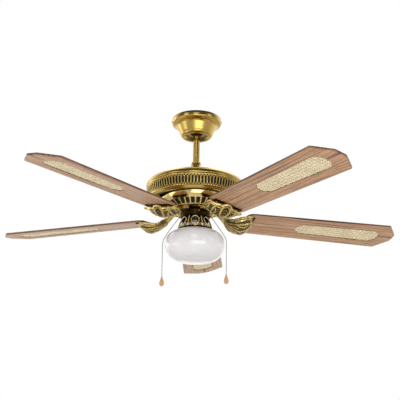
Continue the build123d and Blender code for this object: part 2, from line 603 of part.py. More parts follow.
def rotor_bottom_shell():
    """Lower half of the rotor case: polished bowl, ribbed cone and the irons' landing."""
    hub = BEARING_OUTER_RADIUS + ROTOR_HUB_WALL
    floor_top = ROTOR_BOTTOM + ROTOR_FLOOR
    landing = CONE_RADIUS + LANDING_WIDTH
    flange = ROTOR_SPLIT - ROTOR_WALL
    bowl_inside = (BOWL_MIDDLE[0] - ROTOR_WALL, BOWL_MIDDLE[1] + ROTOR_WALL / 4)
    shell = spun(ThreePointArc((BOWL_RADIUS, ROTOR_SPLIT), BOWL_MIDDLE, (ROTOR_RADIUS, DRUM_BOTTOM)),
                 Polyline((ROTOR_RADIUS, DRUM_BOTTOM), (landing, ROTOR_BOTTOM + LANDING_WIDTH),
                          (landing, ROTOR_BOTTOM), (BEARING_OUTER_RADIUS, ROTOR_BOTTOM),
                          (BEARING_OUTER_RADIUS, floor_top), (CONE_RADIUS, floor_top),
                          (ROTOR_INNER, DRUM_BOTTOM)),
                 ThreePointArc((ROTOR_INNER, DRUM_BOTTOM), bowl_inside,
                               (BOWL_RADIUS - ROTOR_WALL, flange)),
                 Polyline((BOWL_RADIUS - ROTOR_WALL, flange), (ROTOR_INNER, flange),
                          (ROTOR_INNER, ROTOR_SPLIT), (BOWL_RADIUS, ROTOR_SPLIT)))
    window_place = Pos((ROTOR_RADIUS + CONE_RADIUS) / 2, 0, (DRUM_BOTTOM + ROTOR_BOTTOM) / 2)
    window = Box(RIB_WINDOW_LENGTH, RIB_WINDOW_WIDTH, RIB_WINDOW_HEIGHT)
    window = window_place * Rot(0, -RIB_WINDOW_SLOPE, 0) * window
    shell -= around(window, RIB_COUNT, 180.0 / RIB_COUNT)
    shell += ring(hub, BEARING_OUTER_RADIUS, LOWER_BEARING_BOTTOM + BEARING_WIDTH, ROTOR_BOTTOM)
    shell += ring(hub, SHAFT_RADIUS + BEARING_LIP_GAP, LOWER_BEARING_BOTTOM, ROTOR_BOTTOM)
    shell += rotor_lugs(ROTOR_SPLIT, ROTOR_SPLIT - ROTOR_LUG_SEAT)
    hole = ring(IRON_SCREW_RADIUS, 0, ROTOR_BOTTOM + IRON_SCREW_LENGTH, ROTOR_BOTTOM - 1.0)
    for angle in blade_angles():
        shell -= [Rot(0, 0, angle) * Pos(IRON_SCREW_RADIAL, side * IRON_SCREW_SPREAD, 0) * hole
                  for side in (-1, 1)]
    return shell


def rotor_screws():
    """Screws that join the two rotor shells."""
    screw = screw_down(ROTOR_SCREW_RADIUS, 1.9 * ROTOR_SCREW_RADIUS, ROTOR_TOP + SCREW_HEAD_THICK,
                       SCREW_HEAD_THICK, ROTOR_TOP - ROTOR_SPLIT + ROTOR_LUG_SEAT)
    return group(around(rotor_lug_place() * screw, ROTOR_SCREW_COUNT, ROTOR_FIRST_SCREW))


# ---------------------------------------------------------------- blades and their irons
def blade_angles():
    """Direction of each blade, in degrees about +Z."""
    return [FIRST_BLADE_ANGLE + index * 360.0 / BLADE_COUNT for index in range(BLADE_COUNT)]


def pitched(piece):
    """Piece drawn flat about the blade's own axis, tipped to the blade's pitch and height."""
    return Pos(0, 0, BLADE_PLANE) * Rot(-BLADE_PITCH, 0, 0) * piece


def cane_outline(margin):
    """Outline of the cane panel, grown by a margin."""
    inner = CANE_INNER_RADIUS - margin
    outer = CANE_OUTER_RADIUS + margin
    half_in = CANE_INNER_WIDTH / 2 + margin
    half_out = CANE_OUTER_WIDTH / 2 + margin
    cut = CANE_CHAMFER
    shape = make_face(Polyline((inner, -half_in + cut), (inner + cut, -half_in), (outer - cut, -half_out),
                               (outer, -half_out + cut), (outer, half_out - cut), (outer - cut, half_out),
                               (inner + cut, half_in), (inner, half_in - cut), close=True))
    return fillet(shape.vertices(), CANE_CORNER_RADIUS)


def flat_blade():
    """Blade lying flat along +X, with its window, rabbet and screw holes."""
    half_root = BLADE_ROOT_WIDTH / 2
    half_tip = BLADE_TIP_WIDTH / 2
    half_end = TIP_FLAT_WIDTH / 2
    shoulder = SWEEP_RADIUS - TIP_CHAMFER_LENGTH
    outline = make_face(Polyline((BLADE_ROOT_RADIUS, -half_root), (shoulder, -half_tip),
                                 (SWEEP_RADIUS, -half_end), (SWEEP_RADIUS, half_end),
                                 (shoulder, half_tip), (BLADE_ROOT_RADIUS, half_root), close=True))
    tips = outline.vertices().filter_by_position(Axis.X, shoulder - 1, SWEEP_RADIUS + 1)
    outline = fillet(tips, TIP_CORNER_RADIUS)
    roots = outline.vertices().filter_by_position(Axis.X, BLADE_ROOT_RADIUS - 1, BLADE_ROOT_RADIUS + 1)
    outline = fillet(roots, ROOT_CORNER_RADIUS)
    board = Pos(0, 0, -BLADE_THICK / 2) * extrude(outline, BLADE_THICK)
    board -= Pos(0, 0, -BLADE_THICK) * extrude(cane_outline(-CANE_RABBET), 2 * BLADE_THICK)
    rabbet_top = -BLADE_THICK / 2 + CANE_RECESS + CANE_THICK
    board -= Pos(0, 0, -BLADE_THICK) * extrude(cane_outline(0.0), BLADE_THICK + rabbet_top)
    for x, y in blade_screw_places():
        board -= Pos(x, y, 0) * Cylinder(BLADE_SCREW_RADIUS, 3 * BLADE_THICK)
    return board


def cane_panel():
    """Cane panel lying in the blade's rabbet, just inside its underside."""
    return Pos(0, 0, -BLADE_THICK / 2 + CANE_RECESS) * extrude(cane_outline(0.0), CANE_THICK)


def blade_screw_places():
    """Blade screw positions in the blade's own plane."""
    radial = BLADE_ROOT_RADIUS + BLADE_SCREW_INSET
    return [(radial, side * BLADE_SCREW_SPREAD) for side in (-1, 0, 1)]


def iron_section(radius, height, half_width, sag, twist):
    """Dished cross-section of the iron, square to the blade's axis."""
    def at(y, z):
        tip = math.radians(-twist)
        return (radius, y * math.cos(tip) - z * math.sin(tip),
                height + y * math.sin(tip) + z * math.cos(tip))
    top = ThreePointArc(at(-half_width, 0), at(0, -sag), at(half_width, 0))
    bottom = ThreePointArc(at(half_width, -IRON_THICK), at(0, -sag - IRON_THICK),
                           at(-half_width, -IRON_THICK))
    return make_face(top + Line(at(half_width, 0), at(half_width, -IRON_THICK)) + bottom
                     + Line(at(-half_width, -IRON_THICK), at(-half_width, 0)))


def blade_iron():
    """Cast iron along +X: foot under the rotor, arm, deep dished leaf and a flat blade landing."""
    under_blade = BLADE_PLANE - BLADE_THICK / 2 / math.cos(math.radians(BLADE_PITCH))
    foot_top = ROTOR_BOTTOM
    foot = Box(IRON_FOOT_OUTER - IRON_FOOT_INNER, IRON_FOOT_WIDTH, IRON_FOOT_THICK)
    foot = Pos((IRON_FOOT_OUTER + IRON_FOOT_INNER) / 2, 0, foot_top - IRON_FOOT_THICK / 2) * foot
    foot = fillet(foot.edges().filter_by(Axis.Z), IRON_FOOT_CORNER)
    arm_start = IRON_FOOT_OUTER - IRON_ARM_LAP
    arm_length = BLADE_ROOT_RADIUS + IRON_LEAF[0][0] - arm_start
    sections = [iron_section(arm_start + way * arm_length, foot_top - drop, half_width, sag,
                             share * BLADE_PITCH)
                for way, drop, half_width, sag, share in IRON_ARM]
    leaf, lip = [[iron_section(BLADE_ROOT_RADIUS + place, under_blade - drop, half_width, sag,
                               BLADE_PITCH)
                  for place, drop, half_width, sag in table] for table in (IRON_LEAF, IRON_LIP)]
    landing = Box(LANDING_LENGTH, 2 * LANDING_HALF_WIDTH, IRON_THICK)
    landing = pitched(Pos(BLADE_ROOT_RADIUS + LANDING_LENGTH / 2, 0,
                          -(BLADE_THICK + IRON_THICK) / 2) * landing)
    iron = foot + loft(sections + leaf) + loft(lip) + landing
    blade_room = Box(SWEEP_RADIUS, 2 * BLADE_TIP_WIDTH, BLADE_THICK)
    iron -= pitched(Pos(BLADE_ROOT_RADIUS - SEAT_GAP + SWEEP_RADIUS / 2, 0, 0) * blade_room)
    for x, y in blade_screw_places():
        iron -= pitched(Pos(x, y, 0) * Cylinder(BLADE_SCREW_RADIUS, 4 * IRON_THICK))
    for side in (-1, 1):
        iron -= (Pos(IRON_SCREW_RADIAL, side * IRON_SCREW_SPREAD, foot_top)
                 * Cylinder(IRON_SCREW_RADIUS, 10 * IRON_THICK))
    return iron


def iron_screws():
    """Two screws up through each iron's foot into the rotor's floor."""
    head_top = ROTOR_BOTTOM - IRON_FOOT_THICK
    screw = ring(IRON_SCREW_RADIUS, 0, ROTOR_BOTTOM + IRON_SCREW_LENGTH, head_top)
    screw += ring(1.7 * IRON_SCREW_RADIUS, 0, head_top, head_top - SCREW_HEAD_THICK)
    return group([Rot(0, 0, angle) * Pos(IRON_SCREW_RADIAL, side * IRON_SCREW_SPREAD, 0) * screw
                  for angle in blade_angles() for side in (-1, 1)])


def blade_screws():
    """Three screws down through each blade and its iron's landing, with a nut below each."""
    nut_top = -BLADE_THICK / 2 - IRON_THICK - BLADE_WASHER
    head_bottom = BLADE_THICK / 2
    screw = ring(BLADE_SCREW_RADIUS, 0, head_bottom, nut_top)
    screw += ring(BLADE_SCREW_HEAD_RADIUS, 0, nut_top, nut_top - NUT_THICK_UNDER)
    screw += ring(BLADE_SCREW_HEAD_RADIUS, 0, head_bottom + HEAD_ON_BLADE, head_bottom)
    return group([Rot(0, 0, angle) * pitched(Pos(x, y, 0) * screw)
                  for angle in blade_angles() for x, y in blade_screw_places()])


# ---------------------------------------------------------------- switch housing
def switch_plate():
    """Round plate on the end of the shaft that carries the switch housing."""
    return ring(CUP_RADIUS - CUP_WALL - SLIDE_GAP, SHAFT_RADIUS, CUP_TOP, CUP_TOP - SWITCH_PLATE_THICK)


def shaft_nut():
    """Hexagonal nut that holds the switch plate against the shaft's shoulder."""
    top = CUP_TOP - SWITCH_PLATE_THICK
    nut = Pos(0, 0, top - SHAFT_NUT_THICK) * extrude(RegularPolygon(SHAFT_NUT_RADIUS, 6), SHAFT_NUT_THICK)
    return nut - ring(SHAFT_RADIUS, 0, top + 1, top - SHAFT_NUT_THICK - 1)


def eyelet_place(angle):
    """Place of a chain eyelet, with its axis along the local Z, out of the cup and down."""
    middle = CUP_RADIUS - CUP_WALL / 2
    return Rot(0, 0, angle) * Pos(middle, 0, -EYELET_DEPTH) * Rot(0, 90 + EYELET_TILT, 0)


def switch_housing():
    """Dark cup under the rotor, with holes for the chains and a slot for the reverse slider."""
    cup = ring(CUP_RADIUS, CUP_RADIUS - CUP_WALL, CUP_TOP, CUP_BOTTOM)
    cup += ring(CUP_RADIUS, NIPPLE_RADIUS, CUP_BOTTOM + CUP_WALL, CUP_BOTTOM)
    hole = ring(EYELET_STEM_RADIUS, 0, EYELET_OUTSIDE + 4.0, -EYELET_INSIDE - 1.0)
    for angle in (FAN_CHAIN_ANGLE, LIGHT_CHAIN_ANGLE):
        cup -= eyelet_place(angle) * hole
    slot_length = SLIDER_WIDTH + 2 * SLIDER_TRAVEL + 2 * SLIDE_GAP
    slot = Box(slot_length, 8 * CUP_WALL, SLIDER_HEIGHT + 2 * SLIDE_GAP)
    cup -= Pos(0, CUP_RADIUS, -SLIDER_DEPTH) * slot
    screw_hole = (Pos(CUP_RADIUS, 0, CUP_TOP - SWITCH_PLATE_THICK - 2.5) * Rot(0, 90, 0)
                  * Cylinder(CUP_SCREW_RADIUS, 6 * CUP_WALL))
    return cup - around(screw_hole, CUP_SCREW_COUNT, 45.0)


def switch_housing_screws():
    """Screws through the cup's wall, under the switch plate's edge."""
    screw = Rot(0, 90, 0) * screw_down(CUP_SCREW_RADIUS, 1.6 * CUP_SCREW_RADIUS, 1.4, 1.4, CUP_WALL + 3.0)
    place = Pos(CUP_RADIUS, 0, CUP_TOP - SWITCH_PLATE_THICK - 2.5)
    return group(around(place * screw, CUP_SCREW_COUNT, 45.0))


def chain_eyelets():
    """Flared brass eyelets in the cup's wall, one for each chain."""
    bore = CHAIN_RADIUS + SEAT_GAP
    stem = EYELET_STEM_RADIUS
    flare_start = EYELET_OUTSIDE - EYELET_FLARE_LENGTH
    flare = spun_points((bore, -EYELET_INSIDE), (stem, -EYELET_INSIDE), (stem, flare_start),
                        (EYELET_FLARE_RADIUS, EYELET_OUTSIDE), (bore, EYELET_OUTSIDE))
    return group([eyelet_place(angle) * flare for angle in (FAN_CHAIN_ANGLE, LIGHT_CHAIN_ANGLE)])


def pull_switch(angle):
    """Pull switch body on the cup's floor, behind its eyelet."""
    length, width, height = PULL_SWITCH_SIZE
    floor = CUP_BOTTOM + CUP_WALL
    body = Box(length, width, height)
    return Rot(0, 0, angle) * Pos(PULL_SWITCH_CENTRE, 0, floor + height / 2) * body


def capacitor():
    """Flat capacitor standing on the cup's floor."""
    length, width, height = CAPACITOR_SIZE
    floor = CUP_BOTTOM + CUP_WALL
    body = Pos(0, CAPACITOR_CENTRE, floor + height / 2) * Box(length, width, height)
    return fillet(body.edges().filter_by(Axis.Z), 3.0)


def reverse_place():
    """Distance of the reverse switch's front face from the axis."""
    return math.sqrt((CUP_RADIUS - CUP_WALL) ** 2 - (REVERSE_SIZE[0] / 2) ** 2) - SEAT_GAP


def reverse_switch():
    """Body of the reverse switch, with a groove for its slider."""
    length, width, height = REVERSE_SIZE
    front = reverse_place()
    floor = CUP_BOTTOM + CUP_WALL
    body = Pos(0, front - width / 2, floor + height / 2) * Box(length, width, height)
    groove = Box(SLIDER_WIDTH + 2 * SLIDER_TRAVEL + 2 * SLIDE_GAP, width, SLIDER_HEIGHT + 2 * SLIDE_GAP)
    return body - Pos(0, front, -SLIDER_DEPTH) * groove


def reverse_slider():
    """Slider that sticks out through the cup's slot."""
    inner = reverse_place() - REVERSE_SIZE[1] / 2 + SLIDE_GAP
    outer = CUP_RADIUS + SLIDER_PROUD
    slider = Box(SLIDER_WIDTH, outer - inner, SLIDER_HEIGHT)
    return Pos(0, (outer + inner) / 2, -SLIDER_DEPTH) * slider


# ---------------------------------------------------------------- light kit
def globe_screw_height():
    """Height of the thumb screws, just under the globe's lip."""
    return GLOBE_LIP_TOP - GLOBE_LIP_THICK - SEAT_GAP - GLOBE_SCREW_RADIUS


def light_fitter():
    """Cast bell under the switch housing, with tall cut-outs and a beaded lower rim."""
    top = CUP_BOTTOM
    wall = FITTER_WALL
    waist, skirt = FITTER_FLARE_MIDDLE, FITTER_SKIRT
    crown = FITTER_TOP_RADIUS - wall
    bell = spun(Line((NIPPLE_RADIUS, top), (FITTER_TOP_RADIUS, top)),
                ThreePointArc((FITTER_TOP_RADIUS, top), waist, skirt),
                Line(skirt, (FITTER_RADIUS, FITTER_BOTTOM)),
                Line((FITTER_RADIUS, FITTER_BOTTOM), (FITTER_RADIUS - wall, FITTER_BOTTOM)),
                Line((FITTER_RADIUS - wall, FITTER_BOTTOM), (skirt[0] - wall, skirt[1])),
                ThreePointArc((skirt[0] - wall, skirt[1]), (waist[0] - wall, waist[1] - wall / 2),
                              (crown, top - wall)),
                Line((crown, top - wall), (NIPPLE_RADIUS, top - wall)),
                Line((NIPPLE_RADIUS, top - wall), (NIPPLE_RADIUS, top)))
    height = CUTOUT_TOP - CUTOUT_BOTTOM
    drop = make_face(Polyline((0, height / 2), (CUTOUT_WIDTH / 2, -height / 4),
                              (CUTOUT_WIDTH / 3, -height / 2), (-CUTOUT_WIDTH / 3, -height / 2),
                              (-CUTOUT_WIDTH / 2, -height / 4), close=True))
    drop = fillet(drop.vertices(), CUTOUT_CORNER_RADIUS)
    cutter = Plane.YZ * extrude(drop, 2 * FITTER_RADIUS)
    cutter = Pos(NIPPLE_RADIUS * 3, 0, (CUTOUT_TOP + CUTOUT_BOTTOM) / 2) * cutter
    bell -= around(cutter, FITTER_CUTOUTS, 360.0 / 4 * 3)
    hole = (Pos(FITTER_RADIUS, 0, globe_screw_height()) * Rot(0, 90, 0)
            * Cylinder(GLOBE_SCREW_RADIUS, 6 * wall))
    return bell - around(hole, GLOBE_SCREW_COUNT, 30.0)


def fitter_nipple():
    """Threaded nipple that joins the cup, the fitter and the lampholder, with its upper nut."""
    floor = CUP_BOTTOM + CUP_WALL
    nipple = ring(NIPPLE_RADIUS, NIPPLE_BORE_RADIUS, floor + NUT_THICK, HOLDER_TOP - HOLDER_SOCKET)
    upper = extrude(RegularPolygon(NUT_RADIUS, 6), NUT_THICK)
    nut = Pos(0, 0, floor) * upper - ring(NIPPLE_BORE_RADIUS, 0, floor + 2 * NUT_THICK, floor - 1)
    spacer_top = CUP_BOTTOM - FITTER_WALL
    spacer = ring(NUT_RADIUS, NIPPLE_BORE_RADIUS, spacer_top, HOLDER_TOP)
    return nipple + nut + spacer


def lampholder():
    """Round lampholder, closed at the top and open for the lamp's cap."""
    bottom = HOLDER_TOP - HOLDER_LENGTH
    holder = ring(HOLDER_RADIUS, 0, HOLDER_TOP, bottom)
    holder = fillet(holder.edges().group_by(Axis.Z)[-1], HOLDER_CAP_THICK)
    holder -= ring(HOLDER_BORE_RADIUS, 0, HOLDER_TOP - HOLDER_CAP_THICK, bottom - 1.0)
    return holder - ring(NIPPLE_RADIUS, 0, HOLDER_TOP + 1, HOLDER_TOP - HOLDER_SOCKET)


def bulb():
    """Lamp: screw cap and a round glass envelope."""
    cap_top = HOLDER_TOP - HOLDER_CAP_THICK - SEAT_GAP
    cap_bottom = cap_top - BULB_CAP_LENGTH
    centre = cap_top - BULB_LENGTH + BULB_RADIUS
    cap = BULB_CAP_RADIUS
    meet = math.radians(BULB_NECK_ANGLE)
    tangent = (BULB_RADIUS * math.cos(meet), centre + BULB_RADIUS * math.sin(meet))
    return spun(Line((0, cap_top), (cap, cap_top)), Line((cap, cap_top), (cap, cap_bottom)),
                Line((cap, cap_bottom), tangent),
                ThreePointArc(tangent, (BULB_RADIUS, centre), (0, centre - BULB_RADIUS)),
                Line((0, centre - BULB_RADIUS), (0, cap_top)))


def glass_globe():
    """Opal globe: lipped neck, full shoulder, round belly and a nearly flat bottom disc."""
    wall = GLOBE_WALL
    lip_bottom = GLOBE_LIP_TOP - GLOBE_LIP_THICK
    neck = (GLOBE_NECK_RADIUS, -GLOBE_NECK_DEPTH)
    shoulder, belly = GLOBE_SHOULDER_MIDDLE, GLOBE_BELLY_MIDDLE
    equator = (GLOBE_RADIUS, GLOBE_EQUATOR)
    disc = (GLOBE_DISC_RADIUS, GLOBE_BOTTOM + GLOBE_DISC_RISE)
    in_neck = (neck[0] - wall, neck[1] - wall)
    in_equator = (GLOBE_RADIUS - wall, GLOBE_EQUATOR)
    in_disc = (disc[0], disc[1] + wall)
    return spun(Line((in_neck[0], GLOBE_LIP_TOP), (GLOBE_LIP_RADIUS, GLOBE_LIP_TOP)),
                Line((GLOBE_LIP_RADIUS, GLOBE_LIP_TOP), (GLOBE_LIP_RADIUS, lip_bottom)),
                Line((GLOBE_LIP_RADIUS, lip_bottom), (neck[0], lip_bottom)),
                Line((neck[0], lip_bottom), neck),
                ThreePointArc(neck, shoulder, equator), ThreePointArc(equator, belly, disc),
                cap_arc(disc[0], disc[1], GLOBE_BOTTOM),
                Line((0, GLOBE_BOTTOM), (0, GLOBE_BOTTOM + wall)),
                cap_arc(in_disc[0], in_disc[1], GLOBE_BOTTOM + wall),
                ThreePointArc(in_disc, (belly[0] - 0.8 * wall, belly[1] + 0.8 * wall), in_equator),
                ThreePointArc(in_equator, (shoulder[0] - 0.7 * wall, shoulder[1] - 0.8 * wall), in_neck),
                Line(in_neck, (in_neck[0], GLOBE_LIP_TOP)))


def globe_screws():
    """Thumb screws in the fitter's rim, under the globe's lip."""
    reach = FITTER_RADIUS - GLOBE_NECK_RADIUS - SEAT_GAP
    screw = Rot(0, 90, 0) * screw_down(GLOBE_SCREW_RADIUS, 2.0 * GLOBE_SCREW_RADIUS, 4.5, 4.5, reach)
    return group(around(Pos(FITTER_RADIUS, 0, globe_screw_height()) * screw, GLOBE_SCREW_COUNT, 30.0))


# ---------------------------------------------------------------- pull chains
def chain_points(end):
    """Route of a pull chain, as (distance from the axis, height) points."""
    reach = EYELET_OUTSIDE + SEAT_GAP
    tilt = math.radians(EYELET_TILT)
    start = (CUP_RADIUS - CUP_WALL / 2 + reach * math.cos(tilt), -EYELET_DEPTH - reach * math.sin(tilt))
    return [start, *CHAIN_SHOULDER, (CHAIN_OFFSET, end)]


def chain(name, angle, end):
    """Pull chain: out of its eyelet, taut to the globe's shoulder, then straight down to its drop."""
    points = [(radius, 0, height) for radius, height in chain_points(end)]
    print(name, "arc radii", [CHAIN_BEND_RADIUS] * len(CHAIN_SHOULDER))
    path = FilletPolyline(*points, radius=CHAIN_BEND_RADIUS)
    start = Plane(origin=path @ 0, z_dir=path % 0)
    tube = sweep(start * Circle(CHAIN_RADIUS), path=path)
    return Rot(0, 0, angle) * tube


def chain_drop(angle, end):
    """Turned wooden drop on the end of a chain."""
    bottom = end - DROP_LENGTH
    widest = bottom + DROP_WIDEST
    neck = (DROP_NECK_RADIUS, end - DROP_NECK_LENGTH)
    drop = spun(Line((0, end), (DROP_NECK_RADIUS, end)),
                Line((DROP_NECK_RADIUS, end), neck),
                Line(neck, (DROP_RADIUS, widest)),
                cap_arc(DROP_RADIUS, widest, bottom),
                Line((0, bottom), (0, end)))
    return Rot(0, 0, angle) * Pos(CHAIN_OFFSET, 0, 0) * drop


# ---------------------------------------------------------------- assembly
def all_nodes():
    """Every sub-part, by node name."""
    nodes = {
        "hanger_bracket": hanger_bracket(),
        "ball_seat_ring": ball_seat_ring(),
        "hanger_ball": hanger_ball(),
        "ball_pin": ball_pin(),
        "canopy": canopy(),
        "canopy_screws": canopy_screws(),
        "terminal_block": terminal_block(),
        "downrod": downrod(),
        "motor_collar": motor_collar(),
        "motor_yoke": motor_yoke(),
        "yoke_bolt": yoke_bolt(),
        "upper_housing": upper_housing(),
        "housing_screws": housing_screws(),
        "motor_shaft": motor_shaft(),
        "upper_bearing": bearing(UPPER_BEARING_TOP),
        "lower_bearing": bearing(LOWER_BEARING_BOTTOM + BEARING_WIDTH),
        "stator_core": stator_core(),
        "stator_windings": stator_windings(),
        "rotor_ring": rotor_ring(),
        "rotor_top_shell": rotor_top_shell(),
        "rotor_bottom_shell": rotor_bottom_shell(),
        "rotor_screws": rotor_screws(),
        "iron_screws": iron_screws(),
        "blade_screws": blade_screws(),
        "switch_plate": switch_plate(),
        "shaft_nut": shaft_nut(),
        "switch_housing": switch_housing(),
        "switch_housing_screws": switch_housing_screws(),
        "chain_eyelets": chain_eyelets(),
        "fan_speed_switch": pull_switch(FAN_CHAIN_ANGLE),
        "light_switch": pull_switch(LIGHT_CHAIN_ANGLE),
        "capacitor": capacitor(),
        "reverse_switch": reverse_switch(),
        "reverse_slider": reverse_slider(),
        "light_fitter": light_fitter(),
        "fitter_nipple": fitter_nipple(),
        "lampholder": lampholder(),
        "bulb": bulb(),
        "glass_globe": glass_globe(),
        "globe_screws": globe_screws(),
        "fan_chain": chain("fan_chain", FAN_CHAIN_ANGLE, FAN_CHAIN_END),
        "light_chain": chain("light_chain", LIGHT_CHAIN_ANGLE, LIGHT_CHAIN_END),
        "fan_drop": chain_drop(FAN_CHAIN_ANGLE, FAN_CHAIN_END),
        "light_drop": chain_drop(LIGHT_CHAIN_ANGLE, LIGHT_CHAIN_END),
    }
    iron, board, panel = blade_iron(), flat_blade(), cane_panel()
    for number, angle in enumerate(blade_angles(), start=1):
        turn = Rot(0, 0, angle)
        nodes[f"blade_iron_{number}"] = turn * iron
        nodes[f"blade_{number}"] = turn * pitched(board)
        nodes[f"cane_panel_{number}"] = turn * pitched(panel)
    return nodes


os.makedirs("parts", exist_ok=True)
for node_name, node_shape in all_nodes().items():
    export_step(node_shape, f"parts/{node_name}.step")
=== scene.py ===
"""Looks of a downrod ceiling fan with an opal lamp globe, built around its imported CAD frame.

+Z is up, the origin is on the ceiling, and the camera stands on the -Y side, below the fan. Sizes
are written in millimetres and turned to Blender's metres with MM; lamps, camera and textures are in
metres. The sub-assemblies are classes with one build method each.
"""
from __future__ import annotations

import json
import logging
import math
from dataclasses import dataclass
from enum import Enum

import bmesh
import bpy
import numpy as np
from mathutils import Matrix, Vector

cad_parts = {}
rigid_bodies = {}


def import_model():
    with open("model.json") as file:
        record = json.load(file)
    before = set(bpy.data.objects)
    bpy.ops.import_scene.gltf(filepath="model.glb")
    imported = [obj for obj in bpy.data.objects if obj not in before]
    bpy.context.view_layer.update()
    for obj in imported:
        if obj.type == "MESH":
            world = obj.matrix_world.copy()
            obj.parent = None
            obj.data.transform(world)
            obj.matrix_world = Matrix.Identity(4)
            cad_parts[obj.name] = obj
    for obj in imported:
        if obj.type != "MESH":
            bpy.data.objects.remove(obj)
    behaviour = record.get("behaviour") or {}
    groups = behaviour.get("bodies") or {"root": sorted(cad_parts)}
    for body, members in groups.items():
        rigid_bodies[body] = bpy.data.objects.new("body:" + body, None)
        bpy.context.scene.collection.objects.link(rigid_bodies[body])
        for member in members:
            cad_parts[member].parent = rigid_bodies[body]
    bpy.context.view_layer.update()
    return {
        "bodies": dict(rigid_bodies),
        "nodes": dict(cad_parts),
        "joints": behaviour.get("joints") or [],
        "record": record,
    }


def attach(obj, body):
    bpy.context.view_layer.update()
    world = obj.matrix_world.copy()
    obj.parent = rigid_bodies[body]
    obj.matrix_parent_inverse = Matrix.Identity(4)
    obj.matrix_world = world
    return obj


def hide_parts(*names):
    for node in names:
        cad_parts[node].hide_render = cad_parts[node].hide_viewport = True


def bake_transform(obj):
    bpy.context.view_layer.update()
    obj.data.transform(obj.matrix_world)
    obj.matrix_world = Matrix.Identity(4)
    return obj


log = logging.getLogger("ceiling_fan")

MM = 0.001
Point = tuple[float, float]
Spot = tuple[float, float, float]


# ------------------------------------------------------------------ sizes shared with the CAD
BLADE_COUNT = 5
FIRST_BLADE_ANGLE = 15.0
BLADE_PLANE = -328.5
BLADE_PITCH = 10.0
BLADE_THICK = 5.5
FAN_CHAIN_ANGLE = 180.0
LIGHT_CHAIN_ANGLE = -14.0
CHAIN_OFFSET = 97.5
FAN_CHAIN_END = -513.0
LIGHT_CHAIN_END = -509.0
CHAIN_DIAMETER = 3.2
CHAIN_ROUTE = ((49.98, -328.33), (66.0, -351.0), (82.0, -375.0), (95.2, -396.5), (98.0, -410.0),
               (97.8, -430.0))


class Body(str, Enum):
    """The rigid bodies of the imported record."""

    MOUNT = "mount"
    SEAT_RING = "seat_ring"
    SUSPENSION = "suspension"
    ROTOR = "rotor"
    REVERSE = "reverse_slider"
    FAN_PULL = "fan_pull"
    LIGHT_PULL = "light_pull"


# ------------------------------------------------------------------ colour and shader helpers
def srgb(code: str) -> tuple[float, float, float, float]:
    """Turn an sRGB hex code into Blender's linear colour.

    Args:
        code: Six hex digits, with or without a leading hash.

    Returns:
        Linear red, green, blue and alpha.
    """
    digits = code.lstrip("#")
    channels = [int(digits[k:k + 2], 16) / 255.0 for k in (0, 2, 4)]
    linear = [c / 12.92 if c <= 0.04045 else ((c + 0.055) / 1.055) ** 2.4 for c in channels]
    return (linear[0], linear[1], linear[2], 1.0)


